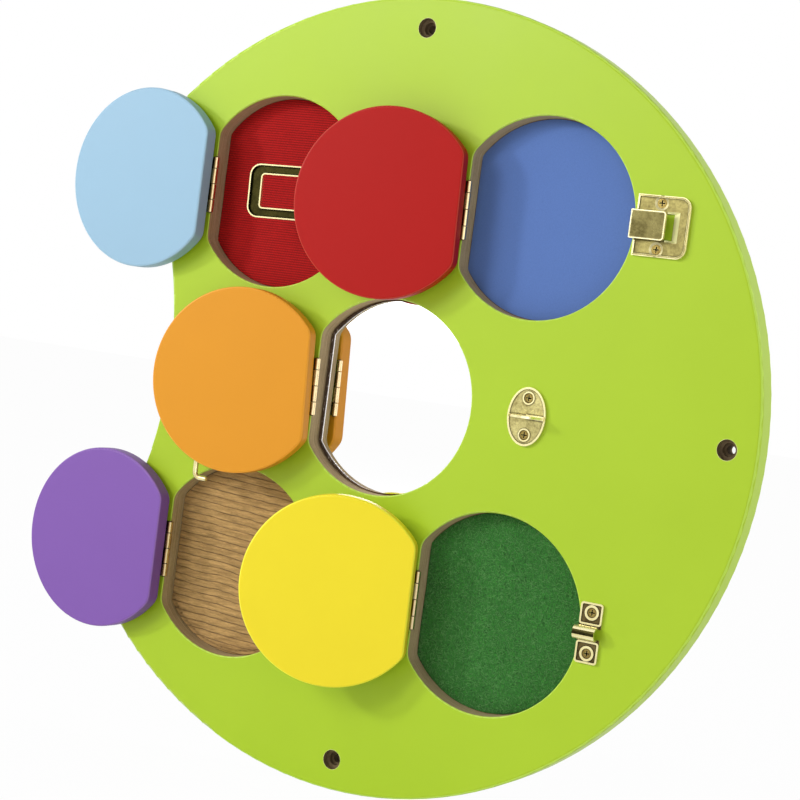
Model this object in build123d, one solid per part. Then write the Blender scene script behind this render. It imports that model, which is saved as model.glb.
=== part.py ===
"""Wooden busy board: a notched disc with five pockets, each behind its own hinged door.

Millimetres. X runs to the right, Z runs up and the front of the board faces -Y.
The origin is the centre of the disc on its flat back face. Doors, latches and their
screws are drawn shut, flush with the front, and then swung open to their rest angles.
"""

import math
import os
from dataclasses import dataclass

from build123d import *

# Board
BOARD_R = 275.0
BOARD_T = 18.0
BOARD_EDGE_R = 2.5
NOTCH_R = 277.0
NOTCH_TIP_X = -0.64727 * BOARD_R
NOTCH_X = NOTCH_TIP_X - NOTCH_R
COLUMN_X = 0.37564 * BOARD_R
ROW_Z = 0.48291 * BOARD_R
MIDDLE_X = 0.012 * BOARD_R

# Pockets and the back panel that closes them
POCKET_R = 67.8
POCKET_FLAT = 55.6
POCKET_CORNER_R = 12.0
POCKET_LIP_R = 0.9
PANEL_T = 3.5
PANEL_R = BOARD_R - 31.0
PANEL_NOTCH_GAP = 10.0
PANEL_FIT = 0.4

# Soft pads and the mirror at the bottom of the pockets
PAD_T = 1.5
PAD_FIT = 0.5
MIRROR_FIT = 1.1

# Doors
DOOR_R = 65.5
DOOR_FLAT = 53.6
DOOR_CORNER_R = 11.0
DOOR_T = 11.0
DOOR_EDGE_R = 1.5
DOOR_SHIFT = 0.4

# Butt hinges
PIN_R = 1.0
PIN_PROUD = 0.4
KNUCKLE_R = 2.1
KNUCKLE_BORE_GAP = 0.06
KNUCKLE_END_GAP = 0.6
LEAF_T = 1.0
LEAF_W = 14.0
LEAF_CORNER_R = 2.0
HINGE_L = 40.0
KNUCKLE_SHARES = (170, 235, 235, 195)
HINGE_AXIS_X = -54.2
HINGE_AXIS_RISE = 2.2
HINGE_SCREW_OUT = 9.0
HINGE_SCREW_HALF_PITCH = 12.0

# Fits shared by screws and sliding pieces
SCREW_GAP = 0.12
SLIDE_GAP = 0.3

# Wall-screw holes: a counterbore, a step and the through hole
WALL_HOLE_PITCH_R = BOARD_R - 21.2
WALL_HOLE_R = 3.0
WALL_STEP_R = 4.5
WALL_BORE_R = 6.75
WALL_STEP_DEPTH = 8.0
WALL_BORE_DEPTH = 4.5

# Slide catch beside the red door
CATCH_LEFT = 69.0
CATCH_RIGHT = 106.0
CATCH_HALF_H = 19.9
CATCH_T = 2.2
CATCH_SKIN = 1.0
CATCH_CORNER_R = 7.0
CATCH_RIM_W = 1.4
CATCH_RIM_T = 0.6
CATCH_Z = 2.2
CATCH_SCREW_X = 85.6
CATCH_SCREW_Z = 15.0
CATCH_DISH_R = 4.8
CATCH_DISH_T = 0.7
CATCH_SLOT_LEFT = 71.0
CATCH_SLOT_RIGHT = 99.0
CATCH_SLOT_HALF_H = 8.5
CATCH_BEVEL_W = 4.2
SLIDER_LEFT = 68.3
SLIDER_FOOT_RIGHT = 81.5
SLIDER_RIGHT = 92.2
SLIDER_HALF_H = 9.25
SLIDER_TOP = 9.2
SLIDER_NOSE_T = 2.4
SLIDER_TRAVEL = 9.0

# Hasp frame on the red door
HASP_END = 106.0
HASP_BAND = 9.5
HASP_HALF_H = 18.7
HASP_SIDE = 7.2
HASP_LOW = CATCH_T + CATCH_RIM_T + 0.3
HASP_HIGH = 6.3
HASP_SKIN = 0.9
HASP_BASE_LEFT = 41.8
HASP_BASE_RIGHT = 64.5
HASP_BASE_T = 1.2
HASP_CROSS_LEFT = 57.0
HASP_CORNER_R = 8.0

# Cabin hook on the orange door and its eye
ROD_R = 1.9
ROD_HEIGHT = 7.0
HOOK_X = 30.8
HOOK_Z = 7.5
HOOK_L = 80.0
HOOK_TIP_L = 9.5
HOOK_RING_R = 4.6
HOOK_RING_T = 3.2
HOOK_BEND_R = 4.5
HOOK_STUD_R = 2.0
HOOK_BASE_R = 9.0
HOOK_BASE_T = 1.2
EYE_X = 110.4
EYE_Z = 1.7
EYE_HALF_W = 13.9
EYE_HALF_H = 19.6
EYE_PLATE_T = 1.6
EYE_RIM_T = 0.5
EYE_HOLE_R = 4.0
EYE_HOLE_RISE = 6.9
EYE_RING_R = 9.4
EYE_RING_RISE = 8.0
EYE_RING_T = 1.6
EYE_FOOT_HALF_W = 12.6
EYE_SCREW_Z = 12.3
EYE_BOSS_R = 4.4
BOSS_T = 0.5

# Barrel bolt on the yellow door and its keeper
BOLT_R = 2.8
BOLT_Z = 1.9
BOLT_RISE = 4.2
BOLT_TIP = 65.0
BOLT_TAIL = 22.0
BOLT_TRAVEL = 15.0
BOLT_PLATE_LEFT = 24.0
BOLT_PLATE_RIGHT = 62.0
BOLT_PLATE_HALF_H = 10.0
BOLT_PLATE_T = 1.0
BARREL_R = 4.6
BARREL_L = 8.5
KNOB_X = 35.6
KNOB_R = 2.4
KNOB_BALL_R = 3.6
KNOB_RISE = 12.5
KEEPER_LEFT = 67.2
KEEPER_RIGHT = 83.0
KEEPER_HALF_H = 19.9
KEEPER_T = 1.4
KEEPER_BORE_R = 3.5
KEEPER_ARCH_R = 4.7
KEEPER_SCREW_X = 75.4
KEEPER_SCREW_Z = 13.4
KEEPER_BOSS_R = 5.0
KEEPER_RIM_W = 1.2
KEEPER_RIM_T = 0.5

# Turn buttons beside the blue and purple doors
BUTTON_X = 74.5
BUTTON_HALF_L = 11.5
BUTTON_HALF_W = 4.0
BUTTON_T = 1.8
WASHER_R = 3.6
WASHER_T = 0.8

# Back-panel screws
PANEL_SCREW_PLACES = (
    (0.0, PANEL_R - 29.0),
    (0.0, 29.0 - PANEL_R),
    (MIDDLE_X + 4.7, ROW_Z - 32.8),
    (MIDDLE_X + 4.7, 32.8 - ROW_Z),
    (PANEL_R - 39.0, 0.0),
    (NOTCH_TIP_X + 53.0, 0.0),
)


@dataclass(frozen=True)
class Screw:
    """A countersunk wood screw."""

    head_r: float
    shank_r: float
    length: float

    @property
    def head_depth(self):
        """Depth at which the cone of the head meets the shank."""
        return LIP + self.head_r - self.shank_r


@dataclass(frozen=True)
class Unit:
    """One pocket with its door, its open angle and how far its hinge pin leans left."""

    name: str
    x: float
    z: float
    open_angle: float
    lean: float


LIP = 0.3
LARGE_SCREW = Screw(3.3, 1.6, 13.0)
DOOR_SCREW = Screw(2.4, 1.2, 8.0)
HINGE_SCREW = Screw(2.2, 1.1, 8.5)
PANEL_SCREW = Screw(2.6, 1.3, 12.0)

UNITS = {
    "light_blue": Unit("light_blue", -COLUMN_X, ROW_Z, 183.0, 0.0),
    "red": Unit("red", COLUMN_X, ROW_Z, 170.0, 0.85),
    "orange": Unit("orange", MIDDLE_X, 0.0, 171.2, 1.45),
    "purple": Unit("purple", -COLUMN_X, -ROW_Z, 183.0, 0.0),
    "yellow": Unit("yellow", COLUMN_X, -ROW_Z, 161.0, 0.45),
}

WALL_HOLES = (
    (0.0, WALL_HOLE_PITCH_R),
    (0.0, -WALL_HOLE_PITCH_R),
    (WALL_HOLE_PITCH_R, 0.0),
)


# ---------------------------------------------------------------- helpers


def d_outline(radius, flat, corner):
    """Flat disc cut straight on its left, with the two corners rounded."""
    cut = Pos(-flat - radius, 0) * Rectangle(2 * radius, 2 * radius)
    outline = Circle(radius) - cut
    corners = outline.vertices().sort_by(Axis.X)[:2]
    return fillet(corners, corner)


def from_front(sketch, low, high):
    """Solid on a front-view sketch between two heights above the board's front."""
    plane = Plane.XZ.offset(BOARD_T + low)
    return extrude(plane * sketch, high - low)


def box_between(x_span, rise_span, z_span):
    """Block between two x, two heights above the board's front and two z."""
    size = (x_span[1] - x_span[0], rise_span[1] - rise_span[0], z_span[1] - z_span[0])
    middle_x = (x_span[0] + x_span[1]) / 2
    middle_rise = (rise_span[0] + rise_span[1]) / 2
    middle_z = (z_span[0] + z_span[1]) / 2
    return Pos(middle_x, -BOARD_T - middle_rise, middle_z) * Box(*size)


def turned(points):
    """Solid of revolution about Y from (radius, y) points."""
    outline = make_face(Polyline(*points, close=True))
    return revolve(outline, Axis.Y)


def screw_shape(kind):
    """Countersunk screw with a cross slot; head at y = 0, point towards +Y."""
    body = turned([
        (0, 0),
        (kind.head_r, 0),
        (kind.head_r, LIP),
        (kind.shank_r, kind.head_depth),
        (kind.shank_r, kind.length - 1.5 * kind.shank_r),
        (0, kind.length),
    ])
    slot_l = 1.25 * kind.head_r
    slot_w = 0.28 * kind.head_r
    slot = Box(slot_l, slot_l, slot_w) + Box(slot_w, slot_l, slot_l)
    return body - slot


def screw_cutter(kind):
    """Countersunk hole for a screw, running on above the head."""
    head_r = kind.head_r + SCREW_GAP
    shank_r = kind.shank_r + SCREW_GAP
    end = kind.length + 0.5
    return turned([
        (0, -2),
        (head_r, -2),
        (head_r, LIP),
        (shank_r, kind.head_depth),
        (shank_r, end),
        (0, end),
    ])


def at_places(shape, places, rise=0.0):
    """Copies of a shape at front-view places, a height above the board's front."""
    return [Pos(x, -BOARD_T - rise, z) * shape for x, z in places]


def screw_set(kind, places, rise):
    """All the screws of one kind at their places, heads at one height."""
    return Compound(children=at_places(screw_shape(kind), places, rise))


def cut_screws(shape, kind, places, rise):
    """The shape with a countersunk hole at each place."""
    return shape - at_places(screw_cutter(kind), places, rise)


def unit_places(unit, places):
    """Places given from a pocket's centre, moved to the board's centre."""
    return [(unit.x + x, unit.z + z) for x, z in places]


def hinge_point(unit):
    """Where a door's hinge axis stands, seen from above."""
    return unit.x + HINGE_AXIS_X, -BOARD_T - HINGE_AXIS_RISE


def leaned(unit):
    """Where the middle of a leaning hinge pin stands."""
    x, y = hinge_point(unit)
    return Pos(x, y, unit.z) * Rot(0, -unit.lean, 0)


def lean_over(unit, shape):
    """A shape drawn for an upright hinge pin, leaned over with the pin."""
    x, y = hinge_point(unit)
    return leaned(unit) * Pos(-x, -y, -unit.z) * shape


def swing_open(unit, shape):
    """A shape drawn with the door shut, turned to the door's open angle."""
    pin = leaned(unit)
    return pin * Rot(0, 0, -unit.open_angle) * pin.inverse() * shape


# ---------------------------------------------------------------- screw places

HINGE_PLACES = [
    (HINGE_AXIS_X - HINGE_SCREW_OUT, HINGE_SCREW_HALF_PITCH),
    (HINGE_AXIS_X - HINGE_SCREW_OUT, -HINGE_SCREW_HALF_PITCH),
]
DOOR_LEAF_PLACES = [
    (HINGE_AXIS_X + HINGE_SCREW_OUT, HINGE_SCREW_HALF_PITCH),
    (HINGE_AXIS_X + HINGE_SCREW_OUT, -HINGE_SCREW_HALF_PITCH),
]
CATCH_PLACES = [
    (CATCH_SCREW_X, CATCH_Z + CATCH_SCREW_Z),
    (CATCH_SCREW_X, CATCH_Z - CATCH_SCREW_Z),
]
EYE_PLACES = [(EYE_X, EYE_Z + EYE_SCREW_Z), (EYE_X, EYE_Z - EYE_SCREW_Z)]
KEEPER_PLACES = [
    (KEEPER_SCREW_X, BOLT_Z + KEEPER_SCREW_Z),
    (KEEPER_SCREW_X, BOLT_Z - KEEPER_SCREW_Z),
]
HASP_PLACES = [(HASP_BASE_LEFT + 6.2, CATCH_Z + 12.0), (HASP_BASE_LEFT + 6.2, CATCH_Z - 12.0)]
HOOK_BASE_PLACES = [(HOOK_X - 6.2, HOOK_Z + 6.2), (HOOK_X - 6.2, HOOK_Z - 6.2)]
BOLT_PLACES = [
    (x, BOLT_Z + z)
    for x in (BOLT_PLATE_LEFT + 3.5, BOLT_PLATE_RIGHT - 3.5)
    for z in (BOLT_PLATE_HALF_H - 3.0, 3.0 - BOLT_PLATE_HALF_H)
]
BUTTON_PLACE = [(BUTTON_X, 0.0)]


# ---------------------------------------------------------------- board


def board_outline(radius, notch_radius):
    """Disc with the round bite out of its left side."""
    return Circle(radius) - Pos(NOTCH_X, 0) * Circle(notch_radius)


def board_screw_cuts():
    """Every screw hole in the front of the board."""
    cuts = []
    for unit in UNITS.values():
        places = unit_places(unit, HINGE_PLACES)
        holes = at_places(screw_cutter(HINGE_SCREW), places, LEAF_T)
        cuts += [lean_over(unit, hole) for hole in holes]
    large = [
        ("red", CATCH_PLACES, CATCH_T - CATCH_DISH_T),
        ("orange", EYE_PLACES, EYE_PLATE_T),
        ("yellow", KEEPER_PLACES, KEEPER_T),
        ("light_blue", BUTTON_PLACE, WASHER_T + BUTTON_T),
        ("purple", BUTTON_PLACE, WASHER_T + BUTTON_T),
    ]
    for name, places, rise in large:
        centres = unit_places(UNITS[name], places)
        cuts += at_places(screw_cutter(LARGE_SCREW), centres, rise)
    return cuts


def wall_hole_cutter():
    """Stepped hole for a wall screw, drilled from the front."""
    return turned([
        (0, -1),
        (WALL_BORE_R, -1),
        (WALL_BORE_R, WALL_BORE_DEPTH),
        (WALL_STEP_R, WALL_BORE_DEPTH),
        (WALL_STEP_R, WALL_STEP_DEPTH),
        (WALL_HOLE_R, WALL_STEP_DEPTH),
        (WALL_HOLE_R, BOARD_T + 1),
        (0, BOARD_T + 1),
    ])


def panel_screw_cuts():
    """Holes for the back-panel screws, which come in from the back."""
    cutter = Rot(0, 0, 180) * screw_cutter(PANEL_SCREW)
    return [Pos(x, 0, z) * cutter for x, z in PANEL_SCREW_PLACES]


def front_board():
    """The green board: pockets, rebate for the back panel and all its holes."""
    board = from_front(board_outline(BOARD_R, NOTCH_R), -BOARD_T, 0)
    board = fillet(board.edges().filter_by(Plane.XZ), BOARD_EDGE_R)
    pocket = d_outline(POCKET_R, POCKET_FLAT, POCKET_CORNER_R)
    for unit in UNITS.values():
        board -= from_front(Pos(unit.x, unit.z) * pocket, -BOARD_T - 1, 1)
    front_y = -BOARD_T
    lips = [
        edge
        for edge in board.edges().filter_by(Plane.XZ)
        if abs(edge.center().Y - front_y) < 0.01 and inside_a_pocket(edge)
    ]
    board = fillet(lips, POCKET_LIP_R)
    rebate = board_outline(PANEL_R + PANEL_FIT, NOTCH_R + PANEL_NOTCH_GAP - PANEL_FIT)
    board -= from_front(rebate, -BOARD_T - 1, -BOARD_T + PANEL_T)
    board -= at_places(wall_hole_cutter(), WALL_HOLES)
    board -= board_screw_cuts()
    board -= panel_screw_cuts()
    return board


def inside_a_pocket(edge):
    """Whether an edge runs round one of the pockets."""
    point = edge @ 0.5
    reach = POCKET_R + 1
    return any(math.hypot(point.X - u.x, point.Z - u.z) < reach for u in UNITS.values())


def back_panel():
    """Thin panel let into the back of the board."""
    outline = board_outline(PANEL_R, NOTCH_R + PANEL_NOTCH_GAP)
    panel = from_front(outline, -BOARD_T, -BOARD_T + PANEL_T)
    return panel - panel_screw_cuts()


def back_panel_screws():
    """Screws that hold the panel, heads at the back."""
    screw = Rot(0, 0, 180) * screw_shape(PANEL_SCREW)
    return Compound(children=[Pos(x, 0, z) * screw for x, z in PANEL_SCREW_PLACES])


def pocket_pad(unit, gap):
    """Sheet lying on the back panel inside a pocket."""
    outline = d_outline(POCKET_R - gap, POCKET_FLAT - gap, POCKET_CORNER_R - gap)
    low = -BOARD_T + PANEL_T
    return from_front(Pos(unit.x, unit.z) * outline, low, low + PAD_T)


# ---------------------------------------------------------------- doors


def door(unit, fixings):
    """A door panel with rounded edges and the holes for its hinge and fittings."""
    outline = d_outline(DOOR_R, DOOR_FLAT, DOOR_CORNER_R)
    panel = from_front(Pos(unit.x + DOOR_SHIFT, unit.z) * outline, -DOOR_T, 0)
    panel = fillet(panel.edges().filter_by(Plane.XZ), DOOR_EDGE_R)
    hinge_places = unit_places(unit, DOOR_LEAF_PLACES)
    holes = at_places(screw_cutter(HINGE_SCREW), hinge_places, LEAF_T)
    panel -= [lean_over(unit, hole) for hole in holes]
    for kind, places, rise in fixings:
        panel = cut_screws(panel, kind, unit_places(unit, places), rise)
    return swing_open(unit, panel)


# ---------------------------------------------------------------- hinges


def knuckle_spans():
    """Heights of the four knuckles, from the top, as (low, high)."""
    total = sum(KNUCKLE_SHARES)
    spans = []
    top = HINGE_L / 2
    for share in KNUCKLE_SHARES:
        length = HINGE_L * share / total
        spans.append((top - length, top))
        top -= length
    return spans


def hinge_leaf(side, own, other):
    """Leaf about its pin: side -1 goes on the board and +1 on the door."""
    plate = Pos(side * LEAF_W / 2, 0, 0) * Box(LEAF_W, LEAF_T, HINGE_L)
    far = plate.faces().sort_by(Axis.X)[0 if side < 0 else -1]
    corners = far.edges().filter_by(Axis.Y)
    plate = fillet(corners, LEAF_CORNER_R)
    leaf = Pos(0, HINGE_AXIS_RISE - LEAF_T / 2, 0) * plate
    half = KNUCKLE_END_GAP / 2
    for low, high in own:
        knuckle = Cylinder(KNUCKLE_R, high - low - 2 * half)
        leaf += Pos(0, 0, (low + high) / 2) * knuckle
    for low, high in other:
        reach = KNUCKLE_R + KNUCKLE_END_GAP
        relief = Box(2 * reach, 4 * KNUCKLE_R, high - low + 2 * half)
        leaf -= Pos(0, 0, (low + high) / 2) * relief
    return leaf - Cylinder(PIN_R + KNUCKLE_BORE_GAP, HINGE_L + 2)


def board_leaf(unit):
    """The leaf screwed to the board."""
    spans = knuckle_spans()
    x, y = hinge_point(unit)
    leaf = Pos(x, y, unit.z) * hinge_leaf(-1, spans[0::2], spans[1::2])
    leaf = cut_screws(leaf, HINGE_SCREW, unit_places(unit, HINGE_PLACES), LEAF_T)
    return lean_over(unit, leaf)


def door_leaf(unit):
    """The leaf screwed to the door."""
    spans = knuckle_spans()
    x, y = hinge_point(unit)
    leaf = Pos(x, y, unit.z) * hinge_leaf(1, spans[1::2], spans[0::2])
    leaf = cut_screws(leaf, HINGE_SCREW, unit_places(unit, DOOR_LEAF_PLACES), LEAF_T)
    return swing_open(unit, lean_over(unit, leaf))


def hinge_pin(unit):
    """The pin through both leaves."""
    return leaned(unit) * Cylinder(PIN_R, HINGE_L + 2 * PIN_PROUD)


def hinge_board_screws():
    """The hinge screws in the board, for all five hinges."""
    screws = []
    for unit in UNITS.values():
        places = unit_places(unit, HINGE_PLACES)
        upright = at_places(screw_shape(HINGE_SCREW), places, LEAF_T)
        screws += [lean_over(unit, screw) for screw in upright]
    return Compound(children=screws)


def hinge_door_screws(unit):
    """The hinge screws in one door."""
    places = unit_places(unit, DOOR_LEAF_PLACES)
    return swing_open(unit, lean_over(unit, screw_set(HINGE_SCREW, places, LEAF_T)))


# ---------------------------------------------------------------- slide catch


def catch_outline(inset):
    """Catch plate seen from the front: square on the left, round on the right."""
    width = CATCH_RIGHT - CATCH_LEFT - 2 * inset
    height = 2 * (CATCH_HALF_H - inset)
    plate = Pos((CATCH_LEFT + CATCH_RIGHT) / 2, 0) * Rectangle(width, height)
    corners = plate.vertices().sort_by(Axis.X)[2:]
    return fillet(corners, CATCH_CORNER_R - inset)


def catch_plate(unit):
    """Pressed plate with a raised rim, a bevelled slot and a hollow underneath."""
    plate = from_front(catch_outline(0), 0, CATCH_T)
    rim = from_front(catch_outline(0.4) - catch_outline(CATCH_RIM_W), CATCH_T, CATCH_T + CATCH_RIM_T)
    plate += rim - catch_rim_opening()
    slot_h = 2 * CATCH_SLOT_HALF_H
    slot_right = CATCH_SLOT_RIGHT - CATCH_BEVEL_W
    slot_x = (CATCH_SLOT_LEFT + slot_right) / 2
    slot_w = slot_right - CATCH_SLOT_LEFT
    plate -= from_front(Pos(slot_x, 0) * Rectangle(slot_w, slot_h), -1, CATCH_T + 1)
    hollow = CATCH_SLOT_HALF_H + 2.0
    hollow_right = SLIDER_FOOT_RIGHT + SLIDER_TRAVEL + 2 * SLIDE_GAP
    plate -= box_between(
        (CATCH_SLOT_LEFT - 0.6, hollow_right),
        (-1.0, CATCH_T - CATCH_SKIN),
        (-hollow, hollow),
    )
    plate -= slot_bevel()
    plate -= [Pos(x, 0, z - CATCH_Z) * catch_dish() for x, z in CATCH_PLACES]
    plate = Pos(unit.x, 0, unit.z + CATCH_Z) * plate
    places = unit_places(unit, CATCH_PLACES)
    return cut_screws(plate, LARGE_SCREW, places, CATCH_T - CATCH_DISH_T)


def catch_dish():
    """Shallow cone pressed round a screw of the catch plate."""
    top = -BOARD_T - CATCH_T
    floor_r = LARGE_SCREW.head_r
    return turned([
        (0, top + CATCH_DISH_T),
        (floor_r, top + CATCH_DISH_T),
        (CATCH_DISH_R, top),
        (CATCH_DISH_R, top - 0.1),
        (0, top - 0.1),
    ])


def catch_rim_opening():
    """Where the rim is left out at the slider's end of the plate."""
    reach = SLIDER_HALF_H + 1.0
    return box_between((CATCH_LEFT - 1, CATCH_LEFT + 6), (CATCH_T, CATCH_T + 2), (-reach, reach))


def slot_bevel():
    """Wide slope at the right end of the slot, mitred with narrow ones above and below."""
    front = -BOARD_T - CATCH_T
    right = CATCH_SLOT_RIGHT - CATCH_BEVEL_W
    depth = CATCH_T - 0.4
    wide = Rectangle(2 * CATCH_BEVEL_W, 2 * CATCH_SLOT_HALF_H + 2.4)
    narrow = Rectangle(0.4, 2 * CATCH_SLOT_HALF_H - 0.6)
    top = Plane.XZ.offset(-front) * Pos(right, 0) * wide
    bottom = Plane.XZ.offset(-front - depth) * Pos(right, 0) * narrow
    return loft([top.face(), bottom.face()])


def catch_slider(unit):
    """Thumb slide: foot, overhanging nose, neck in the slot and flange below it."""
    low = CATCH_T + SLIDE_GAP
    foot = Pos((SLIDER_LEFT + SLIDER_FOOT_RIGHT) / 2, 0) * Rectangle(
        SLIDER_FOOT_RIGHT - SLIDER_LEFT, 2 * SLIDER_HALF_H
    )
    nose = Pos((SLIDER_LEFT + SLIDER_RIGHT) / 2, 0) * Rectangle(
        SLIDER_RIGHT - SLIDER_LEFT, 2 * SLIDER_HALF_H
    )
    nose = fillet(nose.vertices().sort_by(Axis.X)[2:], 2.0)
    body = from_front(foot, low, SLIDER_TOP - SLIDER_NOSE_T)
    body += from_front(nose, SLIDER_TOP - SLIDER_NOSE_T, SLIDER_TOP)
    neck = CATCH_SLOT_HALF_H - SLIDE_GAP
    neck_left = CATCH_SLOT_LEFT + SLIDE_GAP
    neck_right = SLIDER_FOOT_RIGHT
    body += box_between((neck_left, neck_right), (0.3, low), (-neck, neck))
    flange = CATCH_SLOT_HALF_H + 1.5
    flange_top = CATCH_T - CATCH_SKIN - SLIDE_GAP
    body += box_between((neck_left, neck_right), (0.3, flange_top), (-flange, flange))
    return Pos(unit.x, 0, unit.z + CATCH_Z) * body


# ---------------------------------------------------------------- hasp frame


def hasp_ring(outer_inset, inner_inset):
    """Front-view band of the hasp between two insets from its edges."""
    left = HASP_CROSS_LEFT
    width = HASP_END - left
    outer = Rectangle(width - 2 * outer_inset, 2 * (HASP_HALF_H - outer_inset))
    outer = fillet(outer.vertices().sort_by(Axis.X)[2:], HASP_CORNER_R - outer_inset)
    outer = Pos((left + HASP_END) / 2, 0) * outer
    hole_left = left + HASP_BAND - inner_inset
    hole_right = HASP_END - HASP_BAND + inner_inset
    hole = Rectangle(hole_right - hole_left, 2 * (HASP_HALF_H - HASP_SIDE + inner_inset))
    hole = fillet(hole.vertices(), 2.0 + inner_inset)
    return outer - Pos((hole_left + hole_right) / 2, 0) * hole


def hasp_frame(unit):
    """Pressed frame, hollow towards the board, with its base on the door."""
    low = HASP_LOW
    frame = from_front(hasp_ring(0, 0), low, HASP_HIGH)
    trough = hasp_ring(HASP_SKIN, HASP_SKIN)
    frame -= from_front(trough, low - 1, HASP_HIGH - HASP_SKIN)
    base_h = HASP_HALF_H - 1.0
    base_l = HASP_BASE_RIGHT - HASP_BASE_LEFT
    base = Pos((HASP_BASE_LEFT + HASP_BASE_RIGHT) / 2, 0) * Rectangle(base_l, 2 * base_h)
    base = fillet(base.vertices().sort_by(Axis.X)[:2], 3.0)
    frame += from_front(base, 0, HASP_BASE_T)
    frame += box_between((HASP_CROSS_LEFT, HASP_CROSS_LEFT + HASP_SKIN), (0.5, low + 1), (-base_h, base_h))
    right = (HASP_BASE_RIGHT - HASP_SKIN, HASP_BASE_RIGHT)
    reach = HASP_HALF_H - HASP_SIDE
    frame += box_between(right, (0.5, HASP_HIGH - 0.5), (reach, base_h))
    frame += box_between(right, (0.5, HASP_HIGH - 0.5), (-base_h, -reach))
    frame = Pos(unit.x, 0, unit.z + CATCH_Z) * frame
    frame = cut_screws(frame, DOOR_SCREW, unit_places(unit, HASP_PLACES), HASP_BASE_T)
    return swing_open(unit, frame)


# ---------------------------------------------------------------- cabin hook


def hook_base(unit):
    """Round base plate with the stud the hook turns on."""
    centre = Pos(HOOK_X, HOOK_Z)
    plate = Circle(HOOK_BASE_R) + Pos(-4, 0) * Rectangle(10, 2 * HOOK_BASE_R - 1)
    base = from_front(centre * plate, 0, HOOK_BASE_T)
    collar_top = ROD_HEIGHT - ROD_R - 0.3
    base += from_front(centre * Circle(HOOK_STUD_R + 1.2), HOOK_BASE_T, collar_top)
    base += from_front(centre * Circle(HOOK_STUD_R), HOOK_BASE_T, ROD_HEIGHT + ROD_R + 0.3)
    base += from_front(centre * Circle(HOOK_STUD_R + 1.2), ROD_HEIGHT + ROD_R + 0.3, ROD_HEIGHT + ROD_R + 1.3)
    base = Pos(unit.x, 0, unit.z) * base
    base = cut_screws(base, DOOR_SCREW, unit_places(unit, HOOK_BASE_PLACES), HOOK_BASE_T)
    return swing_open(unit, base)


def cabin_hook(unit):
    """Rod with a ring at the stud and a bent tip, hanging straight down."""
    start = HOOK_RING_R - 1.0
    straight = HOOK_L - HOOK_BEND_R - start
    rod = Pos(0, 0, -start - straight / 2) * Cylinder(ROD_R, straight)
    section = Plane.XY.offset(HOOK_BEND_R - HOOK_L) * Circle(ROD_R)
    pivot = Axis((-HOOK_BEND_R, 0, HOOK_BEND_R - HOOK_L), (0, 1, 0))
    bend = revolve(section, pivot, 90)
    tip_l = HOOK_TIP_L - HOOK_BEND_R
    tip = Rot(0, 90, 0) * Cylinder(ROD_R, tip_l)
    tip = chamfer(tip.edges().sort_by(Axis.X)[0], 0.5)
    tip = Pos(-HOOK_BEND_R - tip_l / 2, 0, -HOOK_L) * tip
    hook = Rot(0, -2 * unit.lean, 0) * (rod + bend + tip + hook_ring())
    hook = Pos(unit.x + HOOK_X, -BOARD_T - ROD_HEIGHT, unit.z + HOOK_Z) * hook
    return swing_open(unit, hook)


def hook_ring():
    """Flat ring round the stud."""
    ring = Cylinder(HOOK_RING_R, HOOK_RING_T) - Cylinder(HOOK_STUD_R + SLIDE_GAP, 4 * ROD_R)
    return Rot(90, 0, 0) * ring


def eye_plate(unit):
    """Oval plate with a raised rim, bossed screw holes and a flat eye standing out."""
    outer = Ellipse(EYE_HALF_W, EYE_HALF_H)
    rim = outer - Ellipse(EYE_HALF_W - 1.3, EYE_HALF_H - 1.3)
    centre = Pos(EYE_X, 0)
    plate = from_front(centre * outer, 0, EYE_PLATE_T)
    plate += from_front(centre * rim, EYE_PLATE_T, EYE_PLATE_T + EYE_RIM_T)
    for side in (1, -1):
        boss = from_front(Pos(EYE_X, side * EYE_SCREW_Z) * Circle(EYE_BOSS_R), EYE_PLATE_T, EYE_PLATE_T + BOSS_T)
        plate += boss
    plate += eye_tab()
    rib_right = EYE_X + EYE_HALF_W - 0.8
    plate += box_between((EYE_X, rib_right), (EYE_PLATE_T, EYE_PLATE_T + 1.6), (-1.4, 1.4))
    hole = Cylinder(EYE_HOLE_R, 4 * EYE_RING_R)
    plate -= Pos(EYE_X, -BOARD_T - EYE_HOLE_RISE, 0) * hole
    plate = Pos(unit.x, 0, unit.z + EYE_Z) * plate
    return cut_screws(plate, LARGE_SCREW, unit_places(unit, EYE_PLACES), EYE_PLATE_T)


def eye_tab():
    """The flat eye: a disc on a spreading foot, edge up."""
    half = EYE_RING_T / 2
    foot_y = -BOARD_T - EYE_PLATE_T + 0.3
    shoulder_y = -BOARD_T - EYE_RING_RISE - 1.5
    shoulder = EYE_RING_R - 0.4
    foot = make_face(Polyline(
        (EYE_X - EYE_FOOT_HALF_W, foot_y),
        (EYE_X + EYE_FOOT_HALF_W, foot_y),
        (EYE_X + shoulder, shoulder_y),
        (EYE_X - shoulder, shoulder_y),
        close=True,
    ))
    disc = Pos(EYE_X, -BOARD_T - EYE_RING_RISE, 0) * Cylinder(EYE_RING_R, EYE_RING_T)
    tab = disc + extrude(foot, half, both=True)
    below = (-EYE_RING_R, EYE_PLATE_T - 0.3)
    return tab - box_between((EYE_X - EYE_RING_R, EYE_X + EYE_RING_R), below, (-EYE_RING_T, EYE_RING_T))


# ---------------------------------------------------------------- barrel bolt


def barrel(left):
    """One arch of the bolt housing."""
    block = box_between((left, left + BARREL_L), (0.5, BOLT_RISE), (-BARREL_R, BARREL_R))
    arch = Rot(0, 90, 0) * Cylinder(BARREL_R, BARREL_L)
    arch = Pos(left + BARREL_L / 2, -BOARD_T - BOLT_RISE, 0) * arch
    return block + arch


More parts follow.
